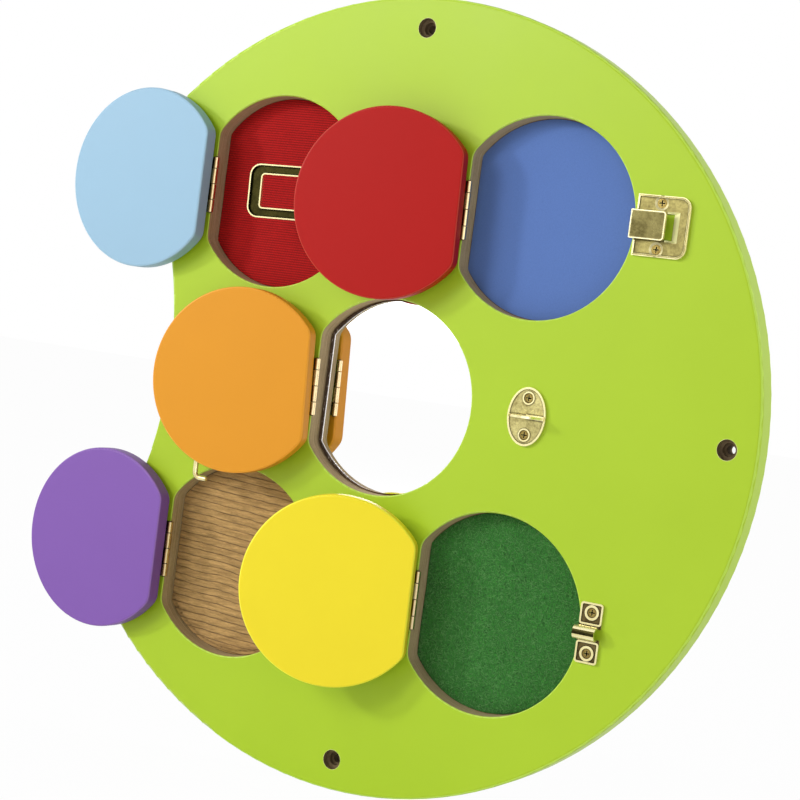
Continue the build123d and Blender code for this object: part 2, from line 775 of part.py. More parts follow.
def bolt_housing(unit):
    """Base plate with two arches that guide the bolt."""
    width = BOLT_PLATE_RIGHT - BOLT_PLATE_LEFT
    plate = Rectangle(width, 2 * BOLT_PLATE_HALF_H)
    plate = fillet(plate.vertices(), 2.0)
    middle = (BOLT_PLATE_LEFT + BOLT_PLATE_RIGHT) / 2
    housing = from_front(Pos(middle, 0) * plate, 0, BOLT_PLATE_T)
    housing += barrel(BOLT_PLATE_LEFT)
    housing += barrel(BOLT_PLATE_RIGHT - BARREL_L)
    bore = Rot(0, 90, 0) * Cylinder(BOLT_R + SLIDE_GAP, 3 * width)
    housing -= Pos(middle, -BOARD_T - BOLT_RISE, 0) * bore
    below = BARREL_R + 1.0
    housing -= box_between((BOLT_PLATE_LEFT, BOLT_PLATE_RIGHT), (-2.0, 0.0), (-below, below))
    housing = Pos(unit.x, 0, unit.z + BOLT_Z) * housing
    housing = cut_screws(housing, DOOR_SCREW, unit_places(unit, BOLT_PLACES), BOLT_PLATE_T)
    return swing_open(unit, housing)


def bolt_rod(unit):
    """Sliding rod with a round end and a knob."""
    length = BOLT_TIP - BOLT_TAIL
    rod = Rot(0, 90, 0) * Cylinder(BOLT_R, length)
    rod = chamfer(rod.edges().sort_by(Axis.X)[-1], 0.8)
    rod = Pos((BOLT_TIP + BOLT_TAIL) / 2, -BOARD_T - BOLT_RISE, 0) * rod
    stem = from_front(Pos(KNOB_X, 0) * Circle(KNOB_R), BOLT_RISE, KNOB_RISE)
    ball = Pos(KNOB_X, -BOARD_T - KNOB_RISE, 0) * Sphere(KNOB_BALL_R)
    return swing_open(unit, Pos(unit.x, 0, unit.z + BOLT_Z) * (rod + stem + ball))


def keeper_pad(side):
    """One screw pad of the keeper, with a raised rim and a boss round its screw."""
    inner = KEEPER_ARCH_R + 0.6
    width = KEEPER_RIGHT - KEEPER_LEFT
    middle = (KEEPER_LEFT + KEEPER_RIGHT) / 2
    height = KEEPER_HALF_H - inner
    outer = fillet(Rectangle(width, height).vertices(), 2.0)
    field = fillet(Rectangle(width - 2 * KEEPER_RIM_W, height - 2 * KEEPER_RIM_W).vertices(), 1.0)
    rim = Pos(middle, side * (inner + height / 2)) * (outer - field)
    boss = Pos(KEEPER_SCREW_X, side * KEEPER_SCREW_Z) * Circle(KEEPER_BOSS_R)
    top = KEEPER_T + KEEPER_RIM_T
    return from_front(rim, KEEPER_T, top) + from_front(boss, KEEPER_T, KEEPER_T + BOSS_T)


def bolt_keeper(unit):
    """Keeper on the board: two flat pads joined by a half-round arch."""
    width = KEEPER_RIGHT - KEEPER_LEFT
    middle = (KEEPER_LEFT + KEEPER_RIGHT) / 2
    plate = Rectangle(width, 2 * KEEPER_HALF_H)
    plate = fillet(plate.vertices(), 2.0)
    keeper = from_front(Pos(middle, 0) * plate, 0, KEEPER_T)
    keeper += keeper_pad(1) + keeper_pad(-1)
    arch_left = KEEPER_LEFT - 1.0
    arch_right = KEEPER_RIGHT - 1.5
    arch_w = arch_right - arch_left
    arch_x = (arch_left + arch_right) / 2
    keeper += box_between((arch_left, arch_right), (0, BOLT_RISE), (-KEEPER_ARCH_R, KEEPER_ARCH_R))
    along = Pos(arch_x, -BOARD_T - BOLT_RISE, 0) * Rot(0, 90, 0)
    keeper += along * Cylinder(KEEPER_ARCH_R, arch_w)
    keeper -= along * Cylinder(KEEPER_BORE_R, 2 * width)
    under = (-KEEPER_ARCH_R, BOLT_RISE)
    keeper -= box_between((arch_left - 1, arch_right + 3), under, (-KEEPER_BORE_R, KEEPER_BORE_R))
    below = KEEPER_ARCH_R + 1.0
    keeper -= box_between((arch_left - 1, arch_right + 1), (-2.0, 0.0), (-below, below))
    keeper = Pos(unit.x, 0, unit.z + BOLT_Z) * keeper
    return cut_screws(keeper, LARGE_SCREW, unit_places(unit, KEEPER_PLACES), KEEPER_T)


# ---------------------------------------------------------------- turn buttons


def turn_button(unit):
    """Oblong button with round ends, standing upright."""
    outline = SlotOverall(2 * BUTTON_HALF_L, 2 * BUTTON_HALF_W, rotation=90)
    button = from_front(Pos(BUTTON_X, 0) * outline, WASHER_T, WASHER_T + BUTTON_T)
    button = chamfer(button.edges().group_by(Axis.Y)[0], 0.4)
    button = Pos(unit.x, 0, unit.z) * button
    return cut_screws(button, LARGE_SCREW, unit_places(unit, BUTTON_PLACE), WASHER_T + BUTTON_T)


def button_washers(units):
    """Washers between the buttons and the board."""
    hole_r = LARGE_SCREW.head_r + LIP - BUTTON_T + SCREW_GAP
    washer = from_front(Circle(WASHER_R) - Circle(hole_r), 0, WASHER_T)
    return Compound(children=[Pos(u.x + BUTTON_X, 0, u.z) * washer for u in units])


# ---------------------------------------------------------------- all parts


def door_fixings():
    """Screw holes each door needs for its latch."""
    return {
        "light_blue": [],
        "red": [(DOOR_SCREW, HASP_PLACES, HASP_BASE_T)],
        "orange": [(DOOR_SCREW, HOOK_BASE_PLACES, HOOK_BASE_T)],
        "purple": [],
        "yellow": [(DOOR_SCREW, BOLT_PLACES, BOLT_PLATE_T)],
    }


def all_parts():
    """Every part of the board by name."""
    blue, red, orange, purple, yellow = UNITS.values()
    parts = {
        "front_board": front_board(),
        "back_panel": back_panel(),
        "back_panel_screws": back_panel_screws(),
        "red_fabric": pocket_pad(blue, PAD_FIT),
        "blue_pad": pocket_pad(red, PAD_FIT),
        "mirror": pocket_pad(orange, MIRROR_FIT),
        "corduroy": pocket_pad(purple, PAD_FIT),
        "green_felt": pocket_pad(yellow, PAD_FIT),
        "hinge_board_screws": hinge_board_screws(),
    }
    fixings = door_fixings()
    for name, unit in UNITS.items():
        parts[f"{name}_door"] = door(unit, fixings[name])
        parts[f"{name}_board_leaf"] = board_leaf(unit)
        parts[f"{name}_door_leaf"] = door_leaf(unit)
        parts[f"{name}_hinge_pin"] = hinge_pin(unit)
        parts[f"{name}_hinge_screws"] = hinge_door_screws(unit)
    parts["catch_plate"] = catch_plate(red)
    parts["catch_slider"] = catch_slider(red)
    catch_rise = CATCH_T - CATCH_DISH_T
    parts["catch_screws"] = screw_set(LARGE_SCREW, unit_places(red, CATCH_PLACES), catch_rise)
    parts["hasp_frame"] = hasp_frame(red)
    parts["hasp_screws"] = door_screws(red, HASP_PLACES, HASP_BASE_T)
    parts["eye_plate"] = eye_plate(orange)
    parts["eye_screws"] = screw_set(LARGE_SCREW, unit_places(orange, EYE_PLACES), EYE_PLATE_T)
    parts["hook_base"] = hook_base(orange)
    parts["cabin_hook"] = cabin_hook(orange)
    parts["hook_screws"] = door_screws(orange, HOOK_BASE_PLACES, HOOK_BASE_T)
    parts["bolt_housing"] = bolt_housing(yellow)
    parts["bolt_rod"] = bolt_rod(yellow)
    parts["bolt_screws"] = door_screws(yellow, BOLT_PLACES, BOLT_PLATE_T)
    parts["bolt_keeper"] = bolt_keeper(yellow)
    parts["keeper_screws"] = screw_set(LARGE_SCREW, unit_places(yellow, KEEPER_PLACES), KEEPER_T)
    parts["blue_turn_button"] = turn_button(blue)
    parts["purple_turn_button"] = turn_button(purple)
    parts["button_washers"] = button_washers([blue, purple])
    button_places = unit_places(blue, BUTTON_PLACE) + unit_places(purple, BUTTON_PLACE)
    parts["button_screws"] = screw_set(LARGE_SCREW, button_places, WASHER_T + BUTTON_T)
    return parts


def door_screws(unit, places, rise):
    """Screws of a fitting on a door, swung open with it."""
    return swing_open(unit, screw_set(DOOR_SCREW, unit_places(unit, places), rise))


def main():
    """Write one STEP file for each part."""
    os.makedirs("parts", exist_ok=True)
    for name, shape in all_parts().items():
        export_step(shape, f"parts/{name}.step")


if __name__ == "__main__":
    main()
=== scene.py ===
"""Finish of the wooden busy board: paint, brass, cloth, mirror, light and camera.

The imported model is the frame. Everything is in metres, X to the right, Z up, and the
front of the board faces -Y, with the origin at the centre of its flat back.
"""

import logging  # noqa: E402
import math  # noqa: E402
from contextlib import contextmanager  # noqa: E402
from dataclasses import dataclass, field  # noqa: E402
from enum import Enum  # noqa: E402
from functools import partial  # noqa: E402
from typing import Callable, Iterable, Iterator, Optional, Sequence  # noqa: E402

import bpy  # noqa: E402
import numpy as np  # noqa: E402
from mathutils import Euler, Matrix, Vector  # noqa: E402
from mathutils.bvhtree import BVHTree  # noqa: E402


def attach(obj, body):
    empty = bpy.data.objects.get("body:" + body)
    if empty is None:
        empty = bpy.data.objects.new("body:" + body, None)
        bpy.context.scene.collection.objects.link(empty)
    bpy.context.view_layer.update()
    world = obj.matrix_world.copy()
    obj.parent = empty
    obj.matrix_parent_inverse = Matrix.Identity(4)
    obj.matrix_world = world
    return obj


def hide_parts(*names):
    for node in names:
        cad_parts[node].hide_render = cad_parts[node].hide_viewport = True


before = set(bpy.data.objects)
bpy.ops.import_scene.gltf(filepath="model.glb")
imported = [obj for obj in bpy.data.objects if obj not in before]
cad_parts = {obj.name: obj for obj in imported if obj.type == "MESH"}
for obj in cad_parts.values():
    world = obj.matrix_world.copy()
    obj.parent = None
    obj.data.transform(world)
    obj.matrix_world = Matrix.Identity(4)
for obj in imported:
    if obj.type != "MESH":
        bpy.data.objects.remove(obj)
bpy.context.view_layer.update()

LOG = logging.getLogger("busy_board")

Socket = bpy.types.NodeSocket
Colour = tuple[float, float, float]
Screen = tuple[int, int, int]
Heights = Callable[[np.ndarray, np.ndarray], np.ndarray]

BOARD_FRONT = -0.018  # Y of the board's front face

# The pockets' centres, as X and Z.
POCKETS = {
    "light_blue": (-0.1033, 0.1328),
    "red": (0.1033, 0.1328),
    "orange": (0.0033, 0.0),
    "purple": (-0.1033, -0.1328),
    "yellow": (0.1033, -0.1328),
}
LINING_R = 0.0673  # radius of a lining's round side
LINING_FLAT = 0.0551  # from its centre to its flat side
# The grooves carry painted shade in the corduroy's finish.
GROOVE = "groove"  # the vertex attribute that marks corduroy's grooves


# ------------------------------------------------------------------ colours


def linear(red: int, green: int, blue: int) -> Colour:
    """Turn a screen colour into a linear one.

    Args:
        red: Red, 0 to 255.
        green: Green, 0 to 255.
        blue: Blue, 0 to 255.

    Returns:
        The same colour as linear values from 0 to 1.
    """

    def channel(value: int) -> float:
        """One channel through the sRGB curve."""
        share = value / 255
        if share <= 0.04045:
            return share / 12.92
        return ((share + 0.055) / 1.055) ** 2.4

    return channel(red), channel(green), channel(blue)


def shade(colour: Colour, factor: float) -> Colour:
    """A colour with each channel multiplied by a factor, to 1 at most."""
    return tuple(min(1.0, channel * factor) for channel in colour)


def blend(first: Colour, second: Colour, share: float) -> Colour:
    """The mix of two linear colours with this share of the second."""
    return tuple(a + (b - a) * share for a, b in zip(first, second))


CREAM_SCREEN = (250, 240, 190)
CREAM = linear(*CREAM_SCREEN)
WHITE = (1.0, 1.0, 1.0)


# ------------------------------------------------------------------ node trees


class Graph:
    """A node tree being filled, with a short call for each node it needs."""

    def __init__(self, tree: bpy.types.NodeTree) -> None:
        """Keep the tree to fill.

        Args:
            tree: The tree of a material, a world or a group.
        """
        self.tree = tree

    def add(self, kind: str, **settings: object) -> bpy.types.Node:
        """Add a node.

        Args:
            kind: The node's type name without its ShaderNode prefix.
            settings: Properties to set on it.

        Returns:
            The new node.
        """
        node = self.tree.nodes.new(f"ShaderNode{kind}")
        for name, value in settings.items():
            setattr(node, name, value)
        return node

    def join(self, source: object, target: Socket) -> None:
        """Link a socket, or set a plain value, on an input.

        Args:
            source: An output socket or a value.
            target: The input to feed.
        """
        if isinstance(source, bpy.types.NodeSocket):
            self.tree.links.new(source, target)
        elif isinstance(source, tuple) and len(source) == 3 and target.type == "RGBA":
            target.default_value = (*source, 1.0)
        else:
            target.default_value = source

    def feed(self, node: bpy.types.Node, inputs: dict[object, object]) -> bpy.types.Node:
        """Link or set several inputs of a node.

        Args:
            node: The node.
            inputs: Sockets or values, by the input's name or number.

        Returns:
            The same node.
        """
        for name, value in inputs.items():
            self.join(value, node.inputs[name])
        return node

    def math(
        self, operation: str, first: object, second: object = 0.0, third: object = 0.0
    ) -> Socket:
        """The result of a Math node's operation on values or sockets."""
        node = self.add("Math", operation=operation)
        return self.feed(node, {0: first, 1: second, 2: third}).outputs[0]

    def noise(
        self, vector: Socket, scale: object, detail: float = 2.0, rough: float = 0.5
    ) -> Socket:
        """Noise from 0 to 1.

        Args:
            vector: Where it is read.
            scale: Lumps per metre.
            detail: Octaves.
            rough: How strong the finer octaves are.

        Returns:
            The noise's value.
        """
        inputs = {"Vector": vector, "Scale": scale, "Detail": detail, "Roughness": rough}
        return self.feed(self.add("TexNoise"), inputs).outputs["Fac"]

    def spread(
        self, value: Socket, low: float, high: float, to_low: object = 0.0, to_high: float = 1.0
    ) -> Socket:
        """Stretch a range of a value to another range.

        Args:
            value: What is stretched.
            low: Start of the range it has.
            high: End of the range it has.
            to_low: What low becomes.
            to_high: What high becomes.

        Returns:
            The clamped result.
        """
        inputs = {"Value": value, "From Min": low, "From Max": high}
        inputs |= {"To Min": to_low, "To Max": to_high}
        return self.feed(self.add("MapRange", clamp=True), inputs).outputs["Result"]

    def mix(self, share: object, first: object, second: object) -> Socket:
        """The mix of two colours with this share of the second."""
        node = self.add("Mix", data_type="RGBA", blend_type="MIX")
        return self.feed(node, {"Factor": share, 6: first, 7: second}).outputs[2]

    def stretched(
        self, vector: Socket, scale: Sequence[float], turn: Sequence[float] = (0, 0, 0)
    ) -> Socket:
        """Stretch and turn coordinates.

        Args:
            vector: The coordinates.
            scale: Factors along X, Y and Z.
            turn: Turns about X, Y and Z, in degrees.

        Returns:
            The new coordinates.
        """
        angles = [math.radians(angle) for angle in turn]
        inputs = {"Vector": vector, "Scale": list(scale), "Rotation": angles}
        return self.feed(self.add("Mapping"), inputs).outputs["Vector"]

    def parts(self, vector: Socket) -> tuple[Socket, Socket, Socket]:
        """The X, Y and Z of a vector."""
        node = self.feed(self.add("SeparateXYZ"), {0: vector})
        return node.outputs[0], node.outputs[1], node.outputs[2]

    def place(self) -> Socket:
        """Object coordinates."""
        return self.add("TexCoord").outputs["Object"]

    def bump(
        self, height: Socket, strength: float, depth: float, onto: Optional[Socket] = None
    ) -> Socket:
        """Bump from a height.

        Args:
            height: The height, 0 to 1.
            strength: Share of the full effect.
            depth: What a height of 1 stands for, in metres.
            onto: A normal that this bump is laid over.

        Returns:
            The new normal.
        """
        inputs = {"Height": height, "Strength": strength, "Distance": depth}
        if onto is not None:
            inputs["Normal"] = onto
        return self.feed(self.add("Bump"), inputs).outputs["Normal"]

    def effect(self, group: bpy.types.NodeTree, **inputs: object) -> bpy.types.NodeOutputs:
        """The outputs of a shared effect that is given these values or sockets."""
        return self.feed(self.add("Group", node_tree=group), inputs).outputs


class Effects:
    """The shared effects, each a node group that is built once."""

    _made: dict[str, bpy.types.NodeTree] = {}

    @classmethod
    def _group(
        cls,
        name: str,
        inputs: dict[str, float],
        fill: Callable[[Graph, bpy.types.NodeOutputs], dict[str, Socket]],
    ) -> bpy.types.NodeTree:
        """Build a group the first time it is asked for.

        Args:
            name: The group's name.
            inputs: Its inputs after Vector, with their usual values.
            fill: Fills the tree and gives the socket for each output.

        Returns:
            The group's tree.
        """
        if name in cls._made:
            return cls._made[name]
        tree = bpy.data.node_groups.new(name, "ShaderNodeTree")
        tree.interface.new_socket("Vector", in_out="INPUT", socket_type="NodeSocketVector")
        for label, value in inputs.items():
            made = tree.interface.new_socket(label, in_out="INPUT", socket_type="NodeSocketFloat")
            made.default_value = value
        graph = Graph(tree)
        filled = fill(graph, tree.nodes.new("NodeGroupInput").outputs)
        for label in filled:
            tree.interface.new_socket(label, in_out="OUTPUT", socket_type="NodeSocketFloat")
        graph.feed(tree.nodes.new("NodeGroupOutput"), filled)
        cls._made[name] = tree
        return tree

    @classmethod
    def sprayed_paint(cls) -> bpy.types.NodeTree:
        """Sprayed paint: a fine orange peel and a faint broad mottle."""

        def fill(graph: Graph, given: bpy.types.NodeOutputs) -> dict[str, Socket]:
            """Nodes of the paint."""
            peel = graph.noise(given["Vector"], given["Grain"], detail=3.0, rough=0.55)
            mottle = graph.noise(given["Vector"], given["Mottle"])
            return {"Height": peel, "Mottle": graph.spread(mottle, 0.3, 0.7)}

        return cls._group("Sprayed paint", {"Grain": 900.0, "Mottle": 16.0}, fill)

    @classmethod
    def worn_and_highlit_edges(cls) -> bpy.types.NodeTree:
        """A mask that is 1 on an edge, which is paler with wear and a painted highlight."""

        def fill(graph: Graph, given: bpy.types.NodeOutputs) -> dict[str, Socket]:
            """Nodes that compare the true and the rounded normal."""
            rounded = graph.feed(graph.add("Bevel", samples=8), {"Radius": given["Radius"]})
            true = graph.add("NewGeometry").outputs["Normal"]
            alike = graph.add("VectorMath", operation="DOT_PRODUCT")
            graph.feed(alike, {0: rounded.outputs[0], 1: true})
            edge = graph.spread(alike.outputs["Value"], 0.995, 0.9)
            breaks = graph.noise(given["Vector"], scale=260.0, detail=3.0, rough=0.6)
            broken = graph.spread(breaks, 0.35, 0.6, to_low=given["Least"])
            return {"Mask": graph.math("MULTIPLY", edge, broken)}

        return cls._group("Worn and highlit edges", {"Radius": 0.0006, "Least": 0.4}, fill)

    @classmethod
    def sloping(cls) -> bpy.types.NodeTree:
        """A mask that is 0 where a face looks straight out of the board and 1 where it slopes."""

        def fill(graph: Graph, given: bpy.types.NodeOutputs) -> dict[str, Socket]:
            """Nodes that weigh the normal."""
            _, out, _ = graph.parts(given["Vector"])
            return {"Mask": graph.spread(graph.math("ABSOLUTE", out), 0.97, 0.8)}

        return cls._group("Sloping", {}, fill)

    @classmethod
    def handled_metal(cls) -> bpy.types.NodeTree:
        """Polished metal that has been handled: hairlines, cloudy film and fine pits."""

        def fill(graph: Graph, given: bpy.types.NodeOutputs) -> dict[str, Socket]:
            """Nodes of the metal."""
            place = given["Vector"]
            film = graph.noise(place, scale=90.0, detail=4.0, rough=0.6)
            pits = graph.noise(place, scale=1400.0, rough=0.6)
            across = graph.stretched(place, (60.0, 60.0, 2600.0), turn=(0, 12, 0))
            lines = graph.spread(graph.noise(across, scale=1.0), 0.55, 0.75)
            hair = graph.math("MULTIPLY", lines, 0.5)
            speckle = graph.noise(place, scale=750.0, rough=0.7)
            return {
                "Film": graph.spread(film, 0.38, 0.66, to_high=0.85),
                "Speckle": graph.spread(speckle, 0.38, 0.62, to_low=-0.5, to_high=0.6),
                "Height": graph.math("ADD", hair, graph.math("MULTIPLY", pits, 0.6)),
            }

        return cls._group("Handled metal", {}, fill)

    @classmethod
    def matted_fibre(cls) -> bpy.types.NodeTree:
        """Short matted fibres, for felt, brushed cloth and pressed board."""

        def fill(graph: Graph, given: bpy.types.NodeOutputs) -> dict[str, Socket]:
            """Nodes of the fibres."""
            place, size = given["Vector"], given["Scale"]
            warp = graph.add("TexNoise")
            graph.feed(warp, {"Vector": place, "Scale": graph.math("MULTIPLY", size, 0.35)})
            bent = graph.add("VectorMath", operation="MULTIPLY_ADD")
            bend = (0.004, 0.004, 0.004)
            graph.feed(bent, {0: warp.outputs["Color"], 1: bend, 2: place})
            fine = graph.noise(bent.outputs[0], size, detail=4.0, rough=0.7)
            clumps = graph.noise(place, graph.math("MULTIPLY", size, 0.16))
            strands = graph.add("TexVoronoi", feature="DISTANCE_TO_EDGE")
            strand_size = graph.math("MULTIPLY", size, 0.7)
            graph.feed(strands, {"Vector": bent.outputs[0], "Scale": strand_size})
            gap = graph.spread(strands.outputs["Distance"], 0.0, 0.12)
            raised = graph.math("ADD", graph.math("MULTIPLY", gap, 0.5), 0.5)
            return {
                "Height": graph.math("MULTIPLY", fine, raised),
                "Clumps": graph.spread(clumps, 0.3, 0.7),
            }

        return cls._group("Matted fibre", {"Scale": 700.0}, fill)

    @classmethod
    def plain_weave(cls) -> bpy.types.NodeTree:
        """Over-and-under threads along X and Z."""

        def fill(graph: Graph, given: bpy.types.NodeOutputs) -> dict[str, Socket]:
            """Nodes of the weave."""

            def wave(along: Socket, threads: Socket) -> Socket:
                """A sine with this many threads per metre."""
                turns = graph.math("MULTIPLY", along, threads)
                return graph.math("SINE", graph.math("MULTIPLY", turns, 2 * math.pi))

            across, _, up = graph.parts(given["Vector"])
            warp, weft = wave(across, given["Across"]), wave(up, given["Up"])
            crossed = graph.math("MULTIPLY", graph.math("MULTIPLY", warp, weft), 0.25)
            rib = graph.math("MULTIPLY", graph.math("ABSOLUTE", weft), 0.75)
            return {"Height": graph.spread(graph.math("ADD", crossed, rib), -0.25, 1.0)}

        return cls._group("Plain weave", {"Across": 1200.0, "Up": 600.0}, fill)


# ------------------------------------------------------------------ finishes


class Finish:
    """A finish: something that makes one material."""

    label: str

    def make(self) -> bpy.types.Material:
        """Build the material.

        Returns:
            The material.
        """
        material = bpy.data.materials.new(self.label)
        material.use_nodes = True
        graph = Graph(material.node_tree)
        graph.feed(material.node_tree.nodes["Principled BSDF"], self.surface(graph, graph.place()))
        return material

    def surface(self, graph: Graph, place: Socket) -> dict[str, object]:
        """Fill the material's graph.

        Args:
            graph: The graph.
            place: The object coordinates.

        Returns:
            What goes into the Principled BSDF, by input name.
        """
        raise NotImplementedError


@dataclass(frozen=True)
class Paint(Finish):
    """Satin paint sprayed on board."""

    label: str
    colour: Colour
    roughness: float = 0.42
    # Share of cream on the edges, for wear and a painted highlight.
    edge_share: float = 0.35
    specular: float = 0.28
    edge_wear_and_highlight_width: float = 0.0008
    mottle_share: float = 0.5

    def surface(self, graph: Graph, place: Socket) -> dict[str, object]:
        """Mottled paint, paler on its edges with wear and a painted highlight, with a fine orange
        peel.
        """
        paint = graph.effect(Effects.sprayed_paint(), Vector=place)
        rub = graph.effect(Effects.worn_and_highlit_edges(), Vector=place, Radius=self.edge_wear_and_highlight_width)
        mottle = graph.math("MULTIPLY", paint["Mottle"], self.mottle_share)
        base = graph.mix(mottle, shade(self.colour, 0.985), shade(self.colour, 1.03))
        low, high = self.roughness - 0.03, self.roughness + 0.04
        return {
            # Cream edges: wear and a painted highlight.
            "Base Color": graph.mix(rub["Mask"], base, blend(self.colour, CREAM, self.edge_share)),
            "Roughness": graph.spread(paint["Mottle"], 0.0, 1.0, low, high),
            "Specular IOR Level": self.specular,
            "Normal": graph.bump(paint["Height"], strength=0.12, depth=0.00012),
        }


@dataclass(frozen=True)
class RawBoard(Finish):
    """Bare pressed wood board, as at a routed wall."""

    label: str
    light: Colour
    dark: Colour
    grain: float = 520.0
    fibre_share: float = 0.4
    streaks: tuple[float, float, float] = (40.0, 900.0, 40.0)

    def surface(self, graph: Graph, place: Socket) -> dict[str, object]:
        """Layered streaks with short fibres."""
        fibre = graph.effect(Effects.matted_fibre(), Vector=place, Scale=self.grain)
        stretched = graph.stretched(place, self.streaks)
        streak = graph.noise(stretched, scale=1.0, detail=3.0, rough=0.6)
        layers = graph.math("MULTIPLY", graph.spread(streak, 0.3, 0.7), 1 - self.fibre_share)
        short = graph.math("MULTIPLY", fibre["Height"], self.fibre_share)
        return {
            "Base Color": graph.mix(graph.math("ADD", layers, short), self.dark, self.light),
            "Roughness": 0.85,
            "Specular IOR Level": 0.25,
            "Normal": graph.bump(fibre["Height"], strength=0.5, depth=0.0003),
        }


@dataclass(frozen=True)
class Brass(Finish):
    """Bright plated brass: dull flats, with a painted highlight on worn edges and slopes."""

    label: str
    flat: Colour
    film: Colour
    bright: Colour
    roughness: float = 0.2
    edge_width: float = 0.0006
    metallic: float = 1.0
    # Painted shade in corners: its strength here, its reach and its tone below.
    dirt: float = 0.9
    least_rub: float = 0.4
    speckle: float = 0.3
    dirt_reach: float = 0.0014
    dirt_tone: float = 0.3

    def surface(self, graph: Graph, place: Socket) -> dict[str, object]:
        """Filmed flats, painted highlights on worn edges and slopes, and painted shade in the
        corners.
        """
        metal = graph.effect(Effects.handled_metal(), Vector=place)
        edge_wear_and_highlight_inputs = {"Radius": self.edge_width, "Least": self.least_rub}
        rub = graph.effect(Effects.worn_and_highlit_edges(), Vector=place, **edge_wear_and_highlight_inputs)
        normal = graph.add("TexCoord").outputs["Normal"]
        slope = graph.effect(Effects.sloping(), Vector=normal)
        cloudy = graph.math("MULTIPLY_ADD", metal["Speckle"], self.speckle, metal["Film"])
        base = graph.mix(cloudy, self.flat, self.film)
        # Painted highlight: faces that slope away from the board's front get the bright colour.
        base = graph.mix(slope["Mask"], base, self.bright)
        # Bright edges: wear and a painted highlight.
        base = graph.mix(rub["Mask"], base, self.bright)
        # Painted shade: darker where ambient occlusion finds a corner.
        crevice = graph.add("AmbientOcclusion", samples=4)
        graph.feed(crevice, {"Distance": self.dirt_reach})
        dirt = graph.spread(crevice.outputs["AO"], 0.96, 0.72, to_high=self.dirt)
        low, high = self.roughness - 0.04, self.roughness + 0.16
        return {
            "Base Color": graph.mix(dirt, base, shade(self.film, self.dirt_tone)),
            "Metallic": self.metallic,
            "Roughness": graph.spread(metal["Film"], 0.0, 1.0, low, high),
            "Normal": graph.bump(metal["Height"], strength=0.16, depth=0.00006),
        }


@dataclass(frozen=True)
class RibbedCloth(Finish):
    """Fine ribbed cloth."""

    label: str
    colour: Colour
    ribs: float
    threads: float
    fibre: float = 1500.0

    def surface(self, graph: Graph, place: Socket) -> dict[str, object]:
        """Painted shade between the ribs, with fine fibres over them."""
        counts = {"Across": self.threads, "Up": self.ribs / 2}
        weave = graph.effect(Effects.plain_weave(), Vector=place, **counts)["Height"]
        fibre = graph.effect(Effects.matted_fibre(), Vector=place, Scale=self.fibre)
        # Painted shade where the weave is low, between the ribs.
        base = graph.mix(weave, shade(self.colour, 0.02), shade(self.colour, 1.45))
        tint = graph.math("MULTIPLY", fibre["Clumps"], 0.2)
        woven = graph.bump(weave, strength=0.7, depth=0.0003)
        return {
            "Base Color": graph.mix(tint, base, shade(self.colour, 1.4)),
            "Roughness": 0.8,
            "Specular IOR Level": 0.2,
            "Sheen Weight": 0.15,
            "Sheen Roughness": 0.4,
            "Normal": graph.bump(fibre["Height"], strength=0.25, depth=0.0002, onto=woven),
        }


@dataclass(frozen=True)
class NappedCloth(Finish):
    """Cloth with a short nap: felt, fleece or a brushed velvet."""

    label: str
    colour: Colour
    fibre: float = 900.0
    contrast: float = 0.25
    depth: float = 0.0005
    sheen: float = 0.3
    cloud_share: float = 0.35

    def surface(self, graph: Graph, place: Socket) -> dict[str, object]:
        """Light fibres over gaps darkened with painted shade, evened out in soft clouds."""
        fibre = graph.effect(Effects.matted_fibre(), Vector=place, Scale=self.fibre)
        tone = graph.spread(fibre["Height"], 0.2, 0.62)
        # Painted shade in the low gaps between fibres.
        dark, light = 1 - self.contrast, 1 + self.contrast
        base = graph.mix(tone, shade(self.colour, dark), shade(self.colour, light))
        cloud = graph.math("MULTIPLY", fibre["Clumps"], self.cloud_share)
        return {
            "Base Color": graph.mix(cloud, base, self.colour),
            "Roughness": 0.92,
            "Specular IOR Level": 0.12,
            "Sheen Weight": self.sheen,
            "Sheen Roughness": 0.5,
            "Normal": graph.bump(fibre["Height"], strength=0.8, depth=self.depth),
        }


@dataclass(frozen=True)
class Corduroy(Finish):
    """Corduroy pile, with painted shade in the narrow grooves between the wales."""

    label: str
    colour: Colour
    along_wales: tuple[float, float, float] = (0.16, 1.0, 1.0)
    along_streaks: tuple[float, float, float] = (0.13, 1.0, 1.0)

    def surface(self, graph: Graph, place: Socket) -> dict[str, object]:
        """Streaky pile, with ragged painted shade in the grooves read from the cloth's own marks.
        """
        groove = graph.add("Attribute", attribute_name=GROOVE).outputs["Fac"]
        along = graph.stretched(place, self.along_wales, turn=(0, 3, 0))
        fibre = graph.effect(Effects.matted_fibre(), Vector=along, Scale=1100.0)
        streaks = graph.stretched(place, self.along_streaks, turn=(0, 4, 0))
        broad = graph.noise(streaks, scale=520.0, detail=4.0, rough=0.7)
        fine = graph.spread(fibre["Height"], 0.1, 0.8, to_high=0.4)
        tone = graph.math("ADD", fine, graph.spread(broad, 0.34, 0.66, to_high=0.6))
        light = blend(shade(self.colour, 1.28), CREAM, 0.05)
        base = graph.mix(tone, shade(self.colour, 0.5), light)
        # Painted shade in the grooves and along the fold at the lower edge, broken up by noise.
        breaks = graph.noise(along, scale=700.0, detail=3.0, rough=0.6)
        ragged = graph.spread(breaks, 0.34, 0.58, to_low=0.45)
        depth = graph.math("MULTIPLY", groove, ragged)
        return {
            "Base Color": graph.mix(depth, base, shade(self.colour, 0.26)),
            "Roughness": 0.9,
            "Specular IOR Level": 0.15,
            "Sheen Weight": 0.25,
            "Normal": graph.bump(fibre["Height"], strength=0.7, depth=0.0004),
        }


